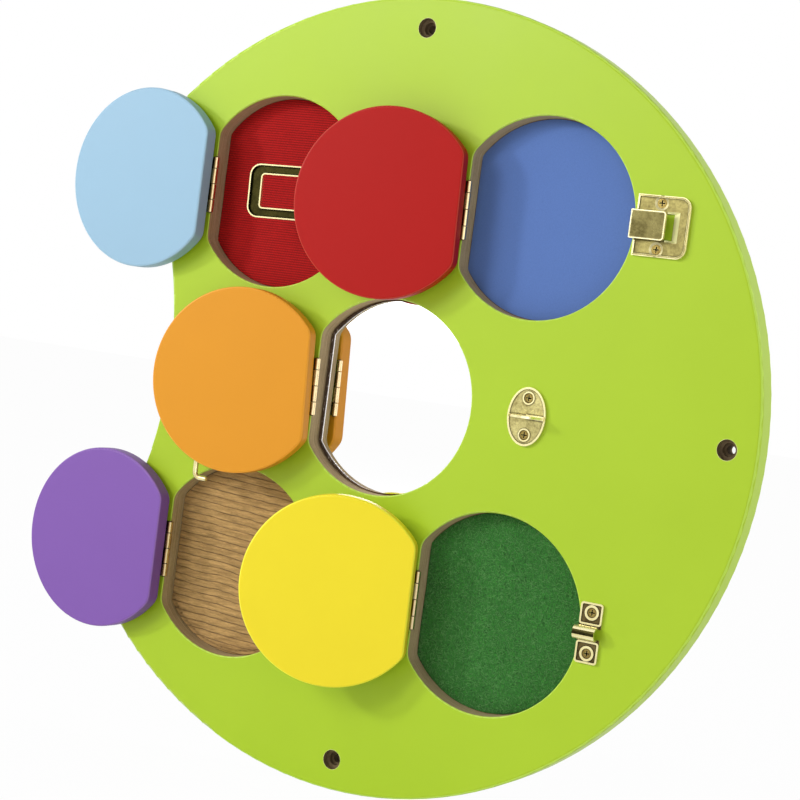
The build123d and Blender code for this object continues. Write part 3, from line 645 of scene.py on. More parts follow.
@dataclass(frozen=True)
class MirrorSheet(Finish):
    """Silvered mirror sheet whose backing is wrinkled and chipped along its edge."""

    label: str
    tint: Colour
    centre: tuple[float, float]
    radius: float
    flat: float
    band: float = 0.0034
    band_fade: float = 0.0008
    backing: Colour = linear(84, 70, 58)
    chips: Colour = linear(190, 180, 168)

    def surface(self, graph: Graph, place: Socket) -> dict[str, object]:
        """Clear silver, with creases and chips on the worn band."""
        edge = self._worn_edge(graph, place)
        wave = graph.noise(place, scale=25.0, detail=1.0)
        crossed = graph.stretched(place, (1.0, 1.0, 0.45))
        creases = graph.noise(crossed, scale=620.0, detail=4.0, rough=0.75)
        worn = graph.mix(graph.spread(creases, 0.57, 0.66), self.backing, self.chips)
        flat = graph.bump(wave, strength=0.05, depth=0.0002)
        wrinkled = graph.math("MULTIPLY", creases, edge)
        return {
            "Base Color": graph.mix(edge, self.tint, worn),
            "Metallic": 1.0,
            "Roughness": graph.spread(edge, 0.0, 1.0, 0.012, 0.35),
            "Normal": graph.bump(wrinkled, strength=0.9, depth=0.0016, onto=flat),
        }

    def _worn_edge(self, graph: Graph, place: Socket) -> Socket:
        """Mask the worn band, which runs along the flat side and fades out on the arcs.

        Args:
            graph: The graph.
            place: The object coordinates.

        Returns:
            1 on the band and 0 inside it.
        """
        x, _, z = graph.parts(place)
        x = graph.math("SUBTRACT", x, self.centre[0])
        z = graph.math("SUBTRACT", z, self.centre[1])
        square = graph.math("MULTIPLY_ADD", x, x, graph.math("MULTIPLY", z, z))
        from_arc = graph.math("SUBTRACT", self.radius, graph.math("SQRT", square))
        inside = graph.math("MINIMUM", from_arc, graph.math("ADD", x, self.flat))
        width = graph.spread(x, -0.8 * self.flat, 0.0, self.band, 0.0)
        return graph.spread(graph.math("SUBTRACT", width, inside), 0.0, self.band_fade)


class Wood(Enum):
    """The painted colours."""

    GREEN = linear(174, 206, 42)
    LIGHT_BLUE = linear(151, 188, 212)
    RED = linear(178, 8, 1)
    ORANGE = linear(229, 153, 30)
    PURPLE = linear(129, 88, 172)
    YELLOW = linear(253, 231, 42)


def brass(
    label: str, flat: Screen, film: Screen, bright: Screen = CREAM_SCREEN, **look: float
) -> Brass:
    """Name a brass by its screen colours.

    Args:
        label: The material's name.
        flat: Its clean flats.
        film: Its filmed flats.
        bright: The painted highlight on its slopes and worn edges.
        look: Other values of the finish.

    Returns:
        The finish.
    """
    return Brass(label, linear(*flat), linear(*film), linear(*bright), **look)


FINE = {"edge_width": 0.0003}  # of small brass parts
BRASS = brass("Bright brass", (214, 204, 146), (150, 138, 88))
# Cream: a painted highlight on the pressed plates' rims and bosses.
RIM_HIGHLIGHT_BRASS = brass(
    "Rim brass with painted highlight", (250, 240, 180), (224, 210, 144), roughness=0.16, metallic=0.85, dirt=0.3
)
# Near cream all over: a painted highlight on the hook.
HOOK_HIGHLIGHT_BRASS = brass(
    "Hook brass with painted highlight", (246, 236, 176), (206, 190, 124), roughness=0.16, metallic=0.85, dirt=0.0
)
# Painted highlight: the catch plate's slope at the slot's end, near white and not metallic, bright
# though the slider shades it.
SLOPE_HIGHLIGHT_BRASS = brass(
    "Slope with painted highlight",
    (255, 254, 184),
    (255, 252, 176),
    (255, 253, 180),
    roughness=0.3,
    metallic=0.0,
    dirt=0.1,
)
# A darker field than the rims: a painted dark reflection, with a mottled film over it.
FIELD_BRASS = brass("Mottled brass", (154, 144, 88), (98, 89, 52), roughness=0.3, edge_width=0.0004)
EYE_BRASS = brass("Eye brass", (204, 194, 130), (124, 113, 68), roughness=0.24, edge_width=0.0004)
# Its wide, nearly unbroken pale edge is a painted highlight.
SLIDER_BRASS = brass(
    "Slider brass", (118, 110, 68), (74, 67, 37), roughness=0.3, edge_width=0.0019, least_rub=0.9
)
# Painted shade: the keeper's low fields and the hinge pins, seen dark in the knuckles' gaps.
DARK_BRASS = brass("Dark brass", (112, 98, 62), (68, 56, 30), (120, 106, 70), roughness=0.3, **FINE)
# Painted shade in the hasp's trough, and a painted dark reflection along the keeper's arch.
PAINTED_DARK_BRASS = brass(
    "Painted dark brass", (64, 60, 28), (34, 32, 14), (80, 74, 38), roughness=0.25, **FINE
)
KNUCKLE_BRASS = brass(
    "Knuckle brass", (188, 156, 98), (134, 102, 58), (222, 200, 156), roughness=0.14, **FINE
)
SHADE_BRASS = brass(
    "Shaded brass", (128, 102, 62), (84, 62, 34), (150, 124, 80), roughness=0.25, **FINE
)
SCREW_BRASS = brass(
    "Screw brass", (156, 136, 74), (100, 82, 38), (226, 208, 138), roughness=0.28, **FINE
)
# Painted shade inside the screws' cross slots.
SCREW_SLOT_SHADE = brass(
    "Screw slot painted shade", (64, 46, 22), (40, 28, 14), (64, 46, 22), roughness=0.4, edge_width=0.0002
)
# Lighter than the felt: a painted highlight on the loose fibres.
FIBRE_FELT = NappedCloth(
    "Felt fibre", linear(98, 162, 86), fibre=2000.0, contrast=0.2, depth=0.0001
)
BARE_BOARD = RawBoard("Bare board", linear(206, 186, 148), linear(150, 128, 92))
DRILLED_BOARD = RawBoard("Drilled board", linear(142, 122, 92), linear(84, 68, 46))
HARDBOARD = RawBoard("Hardboard", linear(136, 100, 66), linear(98, 68, 42), grain=700.0)


# ------------------------------------------------------------------ dressing


@dataclass(frozen=True)
class Faces:
    """A node's faces as arrays, to choose among them by their place or normal."""

    node: bpy.types.Object
    normals: np.ndarray
    centres: np.ndarray
    areas: np.ndarray

    @classmethod
    def of(cls, name: str) -> "Faces":
        """The faces of a node."""
        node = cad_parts[name]
        found = node.data.polygons
        normals = np.array([tuple(face.normal) for face in found])
        centres = np.array([tuple(face.center) for face in found])
        return cls(node, normals, centres, np.array([face.area for face in found]))

    def slots(self) -> np.ndarray:
        """Each face's material slot."""
        return np.array([face.material_index for face in self.node.data.polygons])

    def put(self, chosen: np.ndarray, slot: int) -> None:
        """Put the chosen faces in a material slot."""
        for index in np.flatnonzero(chosen):
            self.node.data.polygons[int(index)].material_index = slot

    def outward(self, chosen: np.ndarray) -> np.ndarray:
        """The direction in which the chosen faces look on the whole."""
        out = (self.normals[chosen] * self.areas[chosen, None]).sum(axis=0)
        return out / np.linalg.norm(out)


class Dresser:
    """Puts finishes on the frame's nodes and on new pieces.

    A slant is the cosine between a face's normal and the direction it is held against.
    """

    _made: dict[str, bpy.types.Material] = {}
    front: float = 0.9
    flush: float = 0.998
    flat: float = 0.999
    arris_slant: tuple[float, float] = (0.4, 0.9)
    wall_slant: float = 0.3
    knuckle_slant: float = 0.97
    knuckle_shade: float = -0.05
    plate_level: float = 0.00004

    @classmethod
    def material(cls, finish: Finish) -> bpy.types.Material:
        """The material of a finish, made once."""
        if finish.label not in cls._made:
            cls._made[finish.label] = finish.make()
        return cls._made[finish.label]

    @classmethod
    def cover(cls, piece: bpy.types.Object, *finishes: Finish) -> None:
        """Give a piece its finishes, in slot order.

        Args:
            piece: The piece.
            finishes: One finish or more.
        """
        piece.data.materials.clear()
        for finish in finishes:
            piece.data.materials.append(cls.material(finish))

    @classmethod
    def nodes(cls, names: Iterable[str], finish: Finish) -> None:
        """Finish the nodes of these names alike."""
        for name in names:
            cls.cover(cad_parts[name], finish)

    @classmethod
    def arris(cls, name: str, finish: Finish) -> None:
        """Finish the rounded edges of a painted board with a lighter paint, a painted highlight.

        Args:
            name: The node's name.
            finish: Finish of the rounded edges.
        """
        faces = Faces.of(name)
        faces.node.data.materials.append(cls.material(finish))
        slant = np.abs(faces.normals @ faces.normals[faces.areas.argmax()])
        least, most = cls.arris_slant
        rounded = (slant > least) & (slant < most) & (faces.slots() == 0)
        faces.put(rounded, len(faces.node.data.materials) - 1)

    @classmethod
    def hinge_leaf(cls, name: str, plate: Finish, knuckle: Finish, shadow: Finish) -> None:
        """Finish a hinge leaf, with painted shade on the side of its knuckles that looks to the
        left.

        Args:
            name: The node's name.
            plate: The finish of its flat plate.
            knuckle: The finish of the knuckles.
            shadow: The finish of the knuckles' faces that look to the left.
        """
        faces = Faces.of(name)
        cls.cover(faces.node, knuckle, shadow, plate)
        out = faces.normals[faces.areas.argmax()]
        turned, height = faces.normals @ out, faces.centres @ out
        # Painted shade on the knuckles' faces that look to the left.
        leftward = faces.normals[:, 0] < cls.knuckle_shade
        faces.put(leftward & (np.abs(turned) < cls.knuckle_slant), 1)
        for side in (turned > cls.flat, turned < -cls.flat):
            level = height[np.where(side, faces.areas, 0.0).argmax()]
            faces.put(side & (np.abs(height - level) < cls.plate_level), 2)

    @classmethod
    def pressed(
        cls, name: str, rim: Finish, low: Finish, depth: float = 0.00015, top: float = 1.0
    ) -> None:
        """Finish a pressed plate: rims in one finish and the lower flat fields in another.

        Args:
            name: The node's name.
            rim: Finish of the rims, bosses and slopes.
            low: Finish of the flat faces that lie lower.
            depth: How much lower they lie, at least.
            top: Highest level that counts as the plate, above the board's front.
        """
        faces = Faces.of(name)
        cls.cover(faces.node, rim, low)
        out = faces.outward(faces.normals[:, 1] < -cls.front)
        height = faces.centres @ out
        flat = (faces.normals @ out > cls.flush) & (BOARD_FRONT - faces.centres[:, 1] < top)
        faces.put(flat & (height < height[flat].max() - depth), 1)

    @classmethod
    def trough_walls(cls, name: str, reach: float = 0.0006) -> None:
        """Give the walls of a pressed plate's trough the painted shade of its floor.

        Args:
            name: The node's name.
            reach: How far from a wall the floor is looked for.
        """
        faces = Faces.of(name)
        floor = faces.slots() == 1
        down = Vector(-faces.outward(floor)).normalized()
        mesh = faces.node.data
        corners = [tuple(vertex.co) for vertex in mesh.vertices]
        tree = BVHTree.FromPolygons(corners, [tuple(face.vertices) for face in mesh.polygons])
        walls = np.zeros(len(floor), dtype=bool)
        for index in np.flatnonzero(np.abs(faces.normals @ np.array(down)) < cls.wall_slant):
            start = Vector(faces.centres[index] + faces.normals[index] * reach)
            below = tree.ray_cast(start, down)[2]
            walls[index] = below is not None and floor[below]
        faces.put(walls, 1)

    @classmethod
    def screws(cls, name: str, depth: float = 0.0003) -> None:
        """Finish screws, with painted shade inside their cross slots.

        Args:
            name: The node's name.
            depth: How far under its head's face a slot begins to be dark.
        """
        faces = Faces.of(name)
        cls.cover(faces.node, SCREW_BRASS, SCREW_SLOT_SHADE)
        height = faces.centres @ faces.outward(faces.normals[:, 1] < -cls.front)
        faces.put(height < height.max() - depth, 1)


@dataclass
class Board:
    """The green board, its pockets and the panel behind it."""

    pocket_r: float = 0.0678
    holes: tuple[tuple[float, float], ...] = ((0.0, 0.2538), (0.0, -0.2538), (0.2538, 0.0))
    hole_r: float = 0.00675
    hole_margin: float = 0.0002
    pocket_margin: float = 0.0003
    lip_slope: float = 0.2
    lip_y: float = -0.0172
    back_y: float = -0.0005
    roughness: float = 0.36
    # Cream on the edges and pocket lips: wear and a painted highlight.
    edge_share: float = 0.7
    # Lighter green on the rounded edges: a painted highlight.
    arris: Colour = linear(198, 233, 86)

    def dress(self) -> None:
        """Paint the board and leave its routed walls bare."""
        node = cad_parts["front_board"]
        look = {"roughness": self.roughness, "edge_share": self.edge_share}
        paint = Paint("Green paint", Wood.GREEN.value, **look)
        Dresser.cover(node, paint, BARE_BOARD, DRILLED_BOARD)
        for face in node.data.polygons:
            face.material_index = self._layer(face.center, face.normal)
        # Painted highlight on the board's rounded edges and pocket lips.
        Dresser.arris("front_board", Paint("Green painted highlight on the arris", self.arris, **look))
        Dresser.nodes(["back_panel"], HARDBOARD)
        Dresser.nodes(["back_panel_screws"], SCREW_BRASS)
        LOG.info("board: painted, walls bare")

    def _layer(self, centre: Vector, normal: Vector) -> int:
        """Say which layer of the board a face shows.

        Args:
            centre: The face's centre.
            normal: The face's normal.

        Returns:
            0 for paint, 1 for a routed wall and 2 for the wall of a screw hole.
        """
        front_lip = abs(normal.y) > self.lip_slope and centre.y < self.lip_y
        if front_lip or centre.y > self.back_y:
            return 0
        for x, z in self.holes:
            if math.hypot(centre.x - x, centre.z - z) < self.hole_r + self.hole_margin:
                return 2
        near = (math.hypot(centre.x - x, centre.z - z) for x, z in POCKETS.values())
        return int(min(near) < self.pocket_r + self.pocket_margin)


@dataclass
class Doors:
    """The five doors with their hinges."""

    roughness: float = 0.46
    specular: float = 0.28
    glossed: dict[str, float] = field(default_factory=lambda: {"red": 0.22})
    # A lighter, creamier paint on the doors' rounded edges: a painted highlight.
    arris_highlight_lift: float = 1.18
    arris_highlight_cream: float = 0.05

    def dress(self) -> None:
        """Paint the doors and finish their hinges."""
        for name in POCKETS:
            colour = Wood[name.upper()].value
            words = name.replace("_", " ").capitalize()
            look = {"roughness": self.roughness, "specular": self.glossed.get(name, self.specular)}
            Dresser.nodes([f"{name}_door"], Paint(f"{words} paint", colour, **look))
            # Painted highlight on the door's rounded edges.
            arris_highlight = blend(shade(colour, self.arris_highlight_lift), CREAM, self.arris_highlight_cream)
            Dresser.arris(f"{name}_door", Paint(f"{words} painted highlight on the arris", arris_highlight, **look))
            for leaf in (f"{name}_board_leaf", f"{name}_door_leaf"):
                Dresser.hinge_leaf(leaf, BRASS, KNUCKLE_BRASS, SHADE_BRASS)
            # Dark pins: painted shade in the gaps between the knuckles.
            Dresser.nodes([f"{name}_hinge_pin"], DARK_BRASS)
            Dresser.nodes([f"{name}_hinge_screws"], SCREW_BRASS)
            LOG.info("%s door: painted, hinge finished", words)
        Dresser.nodes(["hinge_board_screws"], SCREW_BRASS)


@dataclass
class Latches:
    """Catch, hasp, hook, eye, bolt, keeper and turn buttons."""

    plated: tuple[str, ...] = (
        "hook_base",
        "bolt_housing",
        "bolt_rod",
        "blue_turn_button",
        "purple_turn_button",
        "button_washers",
    )
    board_screws: tuple[str, ...] = ("catch_screws", "eye_screws", "keeper_screws", "button_screws")
    door_screws: tuple[str, ...] = ("hasp_screws", "hook_screws", "bolt_screws")
    catch_top: float = 0.0030
    eye_top: float = 0.0023
    keeper_top: float = 0.0021
    trough_depth: float = 0.0038
    slope_y: tuple[float, float] = (-0.96, -0.2)
    slope_top: float = 0.0023
    seats: tuple[tuple[float, float], ...] = ((0.1889, 0.1500), (0.1889, 0.1200))
    seat_r: float = 0.0056
    plate: tuple[float, float, float, float] = (0.1723, 0.2093, 0.1151, 0.1549)
    plate_corner: float = 0.007
    rim_inset: float = 0.00045
    arch_low: float = 0.0020
    arch_front: float = -0.5
    arch_band: tuple[float, float] = (-0.25, 0.45)

    def dress(self) -> None:
        """Finish the latches."""
        Dresser.nodes(self.plated, BRASS)
        Dresser.nodes(["cabin_hook"], HOOK_HIGHLIGHT_BRASS)
        Dresser.nodes(["catch_slider"], SLIDER_BRASS)
        # Each pressed plate: cream rims with a painted highlight over a darker low field.
        Dresser.pressed("catch_plate", RIM_HIGHLIGHT_BRASS, FIELD_BRASS, top=self.catch_top)
        self._catch_details()
        Dresser.pressed("eye_plate", RIM_HIGHLIGHT_BRASS, EYE_BRASS, top=self.eye_top)
        # Painted shade on the keeper's low fields.
        Dresser.pressed("bolt_keeper", RIM_HIGHLIGHT_BRASS, DARK_BRASS, top=self.keeper_top)
        # Painted shade in the hasp's trough.
        Dresser.pressed("hasp_frame", RIM_HIGHLIGHT_BRASS, PAINTED_DARK_BRASS, depth=self.trough_depth)
        Dresser.trough_walls("hasp_frame")
        self._arch_band()
        for name in self.board_screws:
            Dresser.screws(name)
        Dresser.nodes(self.door_screws, SCREW_BRASS)
        LOG.info("latches: finished")

    def _catch_details(self) -> None:
        """Finish the catch plate's slopes, its screw seats and the narrow step outside its rim."""
        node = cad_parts["catch_plate"]
        node.data.materials.append(Dresser.material(SLOPE_HIGHLIGHT_BRASS))
        steep, shallow = self.slope_y
        for face in node.data.polygons:
            level = BOARD_FRONT - face.center.y
            # Painted highlight on the slopes at the slot's end.
            if steep < face.normal.y < shallow and level < self.slope_top:
                face.material_index = 2
            x, z = face.center.x, face.center.z
            if min(math.hypot(x - at_x, z - at_z) for at_x, at_z in self.seats) < self.seat_r:
                face.material_index = 1
            elif self._inset(x, z) < self.rim_inset:
                face.material_index = 0

    def _inset(self, x: float, z: float) -> float:
        """Measure how far inside the catch plate's outline a place is.

        Args:
            x: The place across.
            z: The place up.

        Returns:
            The distance to the outline.
        """
        left, right, low, high = self.plate
        from_corner = x - (right - self.plate_corner)
        from_middle = abs(z - (low + high) / 2) - ((high - low) / 2 - self.plate_corner)
        if from_corner > 0 and from_middle > 0:
            return self.plate_corner - math.hypot(from_corner, from_middle)
        return min(x - left, right - x, z - low, high - z)

    def _arch_band(self) -> None:
        """Paint a dark reflection on the band along the top of the keeper's arch."""
        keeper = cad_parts["bolt_keeper"]
        keeper.data.materials.append(Dresser.material(PAINTED_DARK_BRASS))
        low, high = self.arch_band
        for face in keeper.data.polygons:
            raised = BOARD_FRONT - face.center.y > self.arch_low
            # Painted dark reflection on the arch's top band.
            if raised and face.normal.y < self.arch_front and low < face.normal.z < high:
                face.material_index = 2


# ------------------------------------------------------------------ modelling


class Shop:
    """The modelling operations that several pieces share."""

    @staticmethod
    @contextmanager
    def editing(select: Optional[str] = "SELECT") -> Iterator[None]:
        """Edit the active piece for a while.

        Args:
            select: SELECT or DESELECT for the whole mesh, or None to leave it.
        """
        bpy.ops.object.mode_set(mode="EDIT")
        if select is not None:
            bpy.ops.mesh.select_all(action=select)
        yield
        bpy.ops.object.mode_set(mode="OBJECT")

    @staticmethod
    def clear() -> None:
        """Leave nothing selected."""
        bpy.ops.object.select_all(action="DESELECT")

    @staticmethod
    def settle() -> None:
        """Put the selected piece's place and turn into its mesh."""
        bpy.ops.object.transform_apply(location=True, rotation=True, scale=True)

    @staticmethod
    def points(piece: bpy.types.Object) -> np.ndarray:
        """A piece's vertices as rows of x, y and z."""
        found = np.empty(len(piece.data.vertices) * 3)
        piece.data.vertices.foreach_get("co", found)
        return found.reshape(-1, 3)

    @staticmethod
    def move(piece: bpy.types.Object, points: np.ndarray) -> None:
        """Put a piece's vertices at new points, in order."""
        piece.data.vertices.foreach_set("co", points.ravel())
        piece.data.update()

    @staticmethod
    def only(piece: bpy.types.Object) -> None:
        """Select one piece alone and make it active."""
        Shop.clear()
        piece.select_set(True)
        bpy.context.view_layer.objects.active = piece

    @staticmethod
    def face_outward(piece: bpy.types.Object) -> None:
        """Turn a piece's normals outward."""
        Shop.only(piece)
        with Shop.editing():
            bpy.ops.mesh.normals_make_consistent(inside=False)

    @staticmethod
    def trim(piece: bpy.types.Object, cutter: bpy.types.Object) -> None:
        """Keep what a piece has inside a cutter, and remove the cutter.

        Args:
            piece: The piece that stays.
            cutter: The closed outline that it is trimmed to.
        """
        Shop.face_outward(cutter)
        Shop.only(piece)
        step = piece.modifiers.new("Cut", "BOOLEAN")
        step.operation = "INTERSECT"
        step.solver = "EXACT"
        step.object = cutter
        bpy.ops.object.modifier_apply(modifier=step.name)
        bpy.data.objects.remove(cutter)

    @staticmethod
    def round_upright_corners(piece: bpy.types.Object, side_x: float, radius: float) -> None:
        """Round the two edges where a flat side meets the round one.

        Args:
            piece: A prism along Y.
            side_x: Where its flat side stands.
            radius: The corners' radius.
        """
        near, long_enough, offset_share = 1e-5, 0.01, 0.55
        Shop.only(piece)
        with Shop.editing("DESELECT"):
            pass  # the two edges are chosen outside edit mode
        points = Shop.points(piece)
        for edge in piece.data.edges:
            first, second = (points[index] for index in edge.vertices)
            along = abs(first[1] - second[1]) > long_enough
            at_side = all(abs(end[0] - side_x) < near for end in (first, second))
            edge.select = bool(along and at_side)
        with Shop.editing(None):
            bpy.ops.mesh.select_mode(type="EDGE")
            bpy.ops.mesh.bevel(offset=radius * offset_share, segments=10, affect="EDGES")
            bpy.ops.mesh.select_mode(type="VERT")


def smooth_lumps(x: np.ndarray, z: np.ndarray, seed: int, height: float) -> np.ndarray:
    """Broad shallow lumps, as in cloth that is glued down by hand.

    Args:
        x: Places across.
        z: Places up.
        seed: Which lumps.
        height: How high they are.

    Returns:
        The height at each place.
    """
    waves, shortest, longest, evened = 9, 0.018, 0.055, 4.0
    random = np.random.default_rng(seed)
    total = np.zeros_like(x)
    for _ in range(waves):
        angle = random.uniform(0, math.pi)
        wave = random.uniform(shortest, longest)
        phase = random.uniform(0, 2 * math.pi)
        along = x * math.cos(angle) + z * math.sin(angle)
        total += np.sin(along * 2 * math.pi / wave + phase)
    return height * total / evened


@dataclass(frozen=True)
class Wales:
    """Broad flat wales of corduroy that run across, with narrow grooves between them."""

    pitch: float = 0.0051
    lean: float = 0.05
    groove_width: float = 0.00032
    groove_depth: float = 0.0006
    height: float = 0.0005
    fold_inset: float = 0.0026
    fold_width: float = 0.0007
    fold_top: float = -0.012
    fold_waves: float = 1500.0

    def grooves(self, x: np.ndarray, z: np.ndarray) -> np.ndarray:
        """Say how deep in a groove, or in the fold along the lower edge, a place is.

        Args:
            x: Places across.
            z: Places up.

        Returns:
            1 at the bottom of a groove and 0 on a wale.
        """
        drift = smooth_lumps(x, z * 0.25, 5, 0.00045) + smooth_lumps(x * 2.5, z, 8, 0.00022)
        phase = (z + self.lean * x + drift) / self.pitch
        away = np.abs(phase - np.round(phase)) * self.pitch
        groove = np.exp(-((away / self.groove_width) ** 2))
        from_fold = LINING_R - np.hypot(x, z) - self.fold_inset - 0.5 * drift
        fold = np.exp(-((from_fold / self.fold_width) ** 2)) * (z < self.fold_top)
        uneven = 0.75 + 0.25 * np.sin(x * self.fold_waves)
        return np.clip(groove + fold * uneven, 0.0, 1.0)

    def relief(self, x: np.ndarray, z: np.ndarray) -> np.ndarray:
        """How high the pile stands at each place."""
        lumps = smooth_lumps(x, z, 6, 0.00012)
        return self.height - self.groove_depth * self.grooves(x, z) + lumps


@dataclass
class Lining:
    """One cloth glued to the back panel at the bottom of a pocket."""

    name: str
    node: str
    slot: str
    centre: tuple[float, float]
    finish: Finish
    relief: Heights
    mark: Optional[Heights] = None
    steps: tuple[float, float] = (0.0011, 0.0011)
    radius: float = LINING_R
    flat: float = LINING_FLAT
    corner: float = 0.0115
    back: float = -0.0035
    thickness: float = 0.0012
    flat_area: float = 0.013585
    spare: float = 0.003
    tuck_depth: float = 0.0006
    tuck_reach: float = 0.0014

    def build(self) -> None:
        """Model the cloth and put it in the CAD pad's place."""
        cloth = self._raised_grid()
        Shop.trim(cloth, self._cutter())
        bpy.ops.object.shade_smooth_by_angle(angle=math.radians(50))
        if self.mark is not None:
            self._write_marks(cloth)
        Dresser.cover(cloth, self.finish)
        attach(cloth, "board")
        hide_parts(self.node)
        LOG.info("%s: laid in its pocket, %d faces", self.name, len(cloth.data.polygons))

    def _raised_grid(self) -> bpy.types.Object:
        """Make a fine slab with the cloth's relief on its front.

        Returns:
            The slab.
        """
        x, z = self.centre
        reach = 2 * (self.radius + self.spare)
        columns, rows = (int(reach / step) for step in self.steps)
        Shop.clear()
        bpy.ops.mesh.primitive_grid_add(
            x_subdivisions=columns,
            y_subdivisions=rows,
            size=reach,
            location=(x, self.back, z),
            rotation=(math.pi / 2, 0, 0),
        )
        cloth = bpy.context.object
        cloth.name = self.name
        Shop.settle()
        outward = {"value": (0, -self.thickness, 0)}
        with Shop.editing():
            bpy.ops.mesh.extrude_region_move(TRANSFORM_OT_translate=outward)
        points = Shop.points(cloth)
        front = points[:, 1] < self.back - self.thickness / 2
        across, up = points[front, 0] - x, points[front, 2] - z
        points[front, 1] -= self.relief(across, up) - self._tucked(across, up)
        Shop.move(cloth, points)
        Shop.face_outward(cloth)
        return cloth

    def _write_marks(self, cloth: bpy.types.Object) -> None:
        """Store the grooves on the cloth's vertices, for the painted shade in its finish."""
        points = Shop.points(cloth)
        values = self.mark(points[:, 0] - self.centre[0], points[:, 2] - self.centre[1])
        layer = cloth.data.attributes.new(GROOVE, "FLOAT", "POINT")
        layer.data.foreach_set("value", values)

    def _tucked(self, x: np.ndarray, z: np.ndarray) -> np.ndarray:
        """How far the cloth sinks near its cut edge."""
        inside = np.minimum(self.radius - np.hypot(x, z), x + self.flat)
        return self.tuck_depth * np.exp(-np.clip(inside, 0.0, None) / self.tuck_reach)

    def _cutter(self) -> bpy.types.Object:
        """Make a prism on the pocket's outline.

        Returns:
            The prism.
        """
        x, z = self.centre
        Shop.clear()
        bpy.ops.mesh.primitive_cylinder_add(
            vertices=144,
            radius=self.radius,
            depth=0.02,
            location=(x, self.back, z),
            rotation=(math.pi / 2, 0, 0),
        )
        cutter = bpy.context.object
        Shop.settle()
        side = {"plane_co": (x - self.flat, 0, z), "plane_no": (-1, 0, 0)}
        with Shop.editing():
            bpy.ops.mesh.bisect(**side, use_fill=True, clear_outer=True)
        Shop.round_upright_corners(cutter, x - self.flat, self.corner)
        return cutter


@dataclass
class FeltFibres:
    """Loose fibres that stand up from the felt."""

    centre: tuple[float, float]
    count: int = 4800
    reach: float = 0.066
    flat: float = 0.054
    level: float = -0.0048
    radius: float = 0.00012
    half_length: float = 0.0015
    middle: float = 0.0005
    taper: float = 0.8
    lengths: tuple[float, float] = (0.5, 1.3)
    curl: float = 120.0
    lift: float = 0.35
    seed: int = 11
    finish: Finish = FIBRE_FELT

    def build(self) -> None:
        """Scatter the fibres over the felt."""
        fibre = self._fibre()
        base = Shop.points(fibre)
        faces = np.array([list(face.vertices) for face in fibre.data.polygons])
        bpy.data.objects.remove(fibre)
        random = np.random.default_rng(self.seed)
        rows, links = [], []
        while len(rows) < self.count:
            x, z = random.uniform(-self.reach, self.reach, 2)
            if math.hypot(x, z) > self.reach or x < -self.flat:
                continue
            place = (x + self.centre[0], self.level, z + self.centre[1])
            links.append(faces + len(rows) * len(base))
            rows.append(self._turned(base, random) + place)
        mesh = bpy.data.meshes.new("felt_fibres")
        mesh.from_pydata(np.concatenate(rows).tolist(), [], np.concatenate(links).tolist())
        fibres = bpy.data.objects.new("felt_fibres", mesh)
        bpy.context.scene.collection.objects.link(fibres)
        Dresser.cover(fibres, self.finish)
        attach(fibres, "board")
        LOG.info("felt fibres: %d", self.count)

    def _turned(self, base: np.ndarray, random: np.random.Generator) -> np.ndarray:
        """Give one fibre its own length, curl and direction.

        Args:
            base: The points of the straight fibre.
            random: Where the draws come from.

        Returns:
            The fibre's points.
        """
        length = random.uniform(*self.lengths)
        angle = random.uniform(0, 2 * math.pi)
        curl = random.uniform(-1.0, 1.0)
        points = base * (length, 1.0, 1.0)
        points[:, 2] += curl * self.curl * points[:, 0] ** 2
        points[:, 1] -= random.uniform(0.0, 0.5) * np.abs(points[:, 0]) * self.lift
        x, y, z = points.T
        cos, sin = math.cos(angle), math.sin(angle)
        return np.stack((x * cos - z * sin, y, x * sin + z * cos), axis=1)

    def _fibre(self) -> bpy.types.Object:
        """Make one straight fibre lying along X, tapered to its ends.

        Returns:
            The fibre.
        """
        Shop.clear()
        bpy.ops.mesh.primitive_cylinder_add(
            vertices=4,
            radius=self.radius,
            depth=2 * self.half_length,
            end_fill_type="NOTHING",
            rotation=(0, math.pi / 2, 0),
        )
        fibre = bpy.context.object
        Shop.settle()
        with Shop.editing(None):
            for place in (-self.middle, self.middle):
                bpy.ops.mesh.select_all(action="SELECT")
                bpy.ops.mesh.bisect(plane_co=(place, 0, 0), plane_no=(1, 0, 0))
        points = Shop.points(fibre)
        taper = 1 - self.taper * (np.abs(points[:, 0]) / self.half_length) ** 2
        points[:, 1:] *= taper[:, None]
        Shop.move(fibre, points)
        return fibre


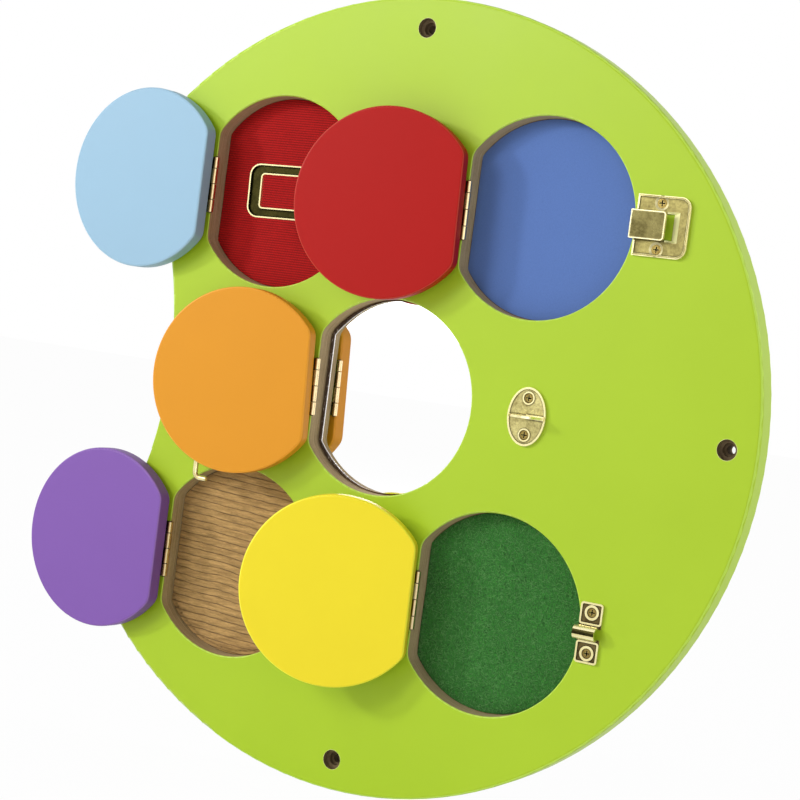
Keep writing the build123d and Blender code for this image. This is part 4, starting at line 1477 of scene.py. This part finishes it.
@dataclass
class Linings:
    """The cloths and the mirror at the bottom of the pockets."""

    wales: Wales = Wales()
    corduroy_steps: tuple[float, float] = (0.0018, 0.0003)

    def dress(self) -> None:
        """Lay the cloths and finish the mirror."""
        for lining in self._cloths():
            lining.build()
        FeltFibres(POCKETS["yellow"]).build()
        mirror = MirrorSheet("Mirror sheet", WHITE, POCKETS["orange"], LINING_R, LINING_FLAT)
        Dresser.nodes(["mirror"], mirror)
        LOG.info("linings: finished")

    def _cloths(self) -> list[Lining]:
        """Describe the four cloths.

        Returns:
            The cloths, not yet built.
        """
        red = RibbedCloth("Red ribbed cloth", linear(172, 12, 12), ribs=590.0, threads=700.0)
        blue = NappedCloth(
            "Blue brushed cloth", linear(93, 124, 189), fibre=1500.0, contrast=0.08, depth=0.0002
        )
        brown = Corduroy("Brown corduroy", linear(193, 153, 94))
        green = NappedCloth(
            "Green felt", linear(45, 112, 39), fibre=760.0, contrast=0.66, depth=0.0009
        )
        return [
            Lining(
                "red_ribbed_lining",
                "red_fabric",
                "red_fabric",
                POCKETS["light_blue"],
                red,
                partial(smooth_lumps, seed=1, height=0.00022),
            ),
            Lining(
                "blue_brushed_lining",
                "blue_pad",
                "blue_fabric",
                POCKETS["red"],
                blue,
                partial(smooth_lumps, seed=2, height=0.00012),
            ),
            Lining(
                "corduroy_lining",
                "corduroy",
                "corduroy",
                POCKETS["purple"],
                brown,
                self.wales.relief,
                mark=self.wales.grooves,
                steps=self.corduroy_steps,
            ),
            Lining(
                "green_felt_lining",
                "green_felt",
                "green_felt",
                POCKETS["yellow"],
                green,
                partial(smooth_lumps, seed=4, height=0.00018),
            ),
        ]


# ------------------------------------------------------------------ studio


@dataclass
class Studio:
    """Floor, backdrop, light and camera."""

    eye: tuple[float, float, float] = (0.69970, -1.25439, 0.05827)
    turn: tuple[float, float, float] = (87.6506, -7.4682, 29.2384)
    lens: float = 93.087
    sensor: float = 36.0
    shift: tuple[float, float] = (0.00035, -0.0020)
    clip: tuple[float, float] = (0.01, 50.0)
    floor_size: float = 12.0
    floor_z: float = -0.2752
    floor_tone: Colour = (0.9, 0.9, 0.9)
    floor_glow: float = 0.97
    world_light: float = 0.35
    lamps: tuple[tuple[str, tuple[float, float, float], float, float], ...] = (
        ("Key", (-2.3, -1.9, 0.9), 0.28, 24.0),
        ("Softbox", (-1.4, -1.9, 0.9), 1.9, 13.0),
        ("Top box", (-1.0, -1.9, 0.85), 0.6, 10.5),
        ("Fill", (1.6, -2.0, 0.2), 1.8, 7.0),
        ("Side", (4.0, -1.5, 0.3), 1.5, 10.0),
        ("Rim", (1.6, 0.9, 0.8), 1.0, 14.0),
    )

    def build(self) -> None:
        """Set up the studio."""
        self._camera()
        self._floor()
        self._world()
        for name, place, size, power in self.lamps:
            self._lamp(name, place, size, power)
        bpy.context.scene.view_settings.view_transform = "Standard"
        LOG.info("studio: ready")

    def _camera(self) -> None:
        """Stand the camera."""
        data = bpy.data.cameras.new("Camera")
        data.lens = self.lens
        data.sensor_width = self.sensor
        data.shift_x, data.shift_y = self.shift
        data.clip_start, data.clip_end = self.clip
        camera = bpy.data.objects.new("Camera", data)
        camera.location = self.eye
        camera.rotation_euler = Euler([math.radians(angle) for angle in self.turn], "XYZ")
        bpy.context.scene.collection.objects.link(camera)
        bpy.context.scene.camera = camera

    def _floor(self) -> None:
        """Lay the pale floor."""
        Shop.clear()
        bpy.ops.mesh.primitive_plane_add(size=self.floor_size, location=(0.0, 0.0, self.floor_z))
        floor = bpy.context.object
        floor.name = "Floor"
        material = bpy.data.materials.new("Pale floor")
        material.use_nodes = True
        graph = Graph(material.node_tree)
        bsdf = material.node_tree.nodes["Principled BSDF"]
        graph.feed(bsdf, {"Base Color": self.floor_tone, "Roughness": 0.9})
        glow = graph.feed(graph.add("Emission"), {"Strength": 1.0})
        seen = graph.math("MULTIPLY", self._seen(graph), self.floor_glow)
        inputs = {0: seen, 1: bsdf.outputs[0], 2: glow.outputs[0]}
        mixed = graph.feed(graph.add("MixShader"), inputs)
        graph.feed(material.node_tree.nodes["Material Output"], {0: mixed.outputs[0]})
        floor.data.materials.append(material)

    @staticmethod
    def _seen(graph: Graph) -> Socket:
        """1 where the camera sees a thing itself, in metal or through glass."""
        path = graph.add("LightPath").outputs
        direct = graph.math("MAXIMUM", path["Is Camera Ray"], path["Is Glossy Ray"])
        return graph.math("MAXIMUM", direct, path["Is Transmission Ray"])

    def _world(self) -> None:
        """White surroundings, dimmer as a light."""
        world = bpy.data.worlds.new("Surroundings")
        world.use_nodes = True
        graph = Graph(world.node_tree)
        light = world.node_tree.nodes["Background"]
        graph.feed(light, {"Color": WHITE, "Strength": self.world_light})
        white = graph.feed(graph.add("Background"), {"Color": WHITE, "Strength": 1.0})
        inputs = {0: self._seen(graph), 1: light.outputs[0], 2: white.outputs[0]}
        mixed = graph.feed(graph.add("MixShader"), inputs)
        graph.feed(world.node_tree.nodes["World Output"], {0: mixed.outputs[0]})
        bpy.context.scene.world = world

    @staticmethod
    def _lamp(name: str, place: Sequence[float], size: float, power: float) -> None:
        """Hang a soft lamp that looks at the board's centre.

        Args:
            name: The lamp's name.
            place: Where it hangs.
            size: The side of its square, in metres.
            power: Its power, in watts.
        """
        data = bpy.data.lights.new(name, "AREA")
        data.size = size
        data.energy = power
        lamp = bpy.data.objects.new(name, data)
        lamp.location = place
        lamp.rotation_mode = "QUATERNION"
        lamp.rotation_quaternion = (-Vector(place)).to_track_quat("-Z", "Y")
        bpy.context.scene.collection.objects.link(lamp)


def main() -> None:
    """Build and dress everything in order."""
    logging.basicConfig(level=logging.INFO, format="%(name)s: %(message)s")
    for assembly in (Board(), Doors(), Latches(), Linings()):
        assembly.dress()
    Studio().build()


if __name__ == "__main__":
    main()
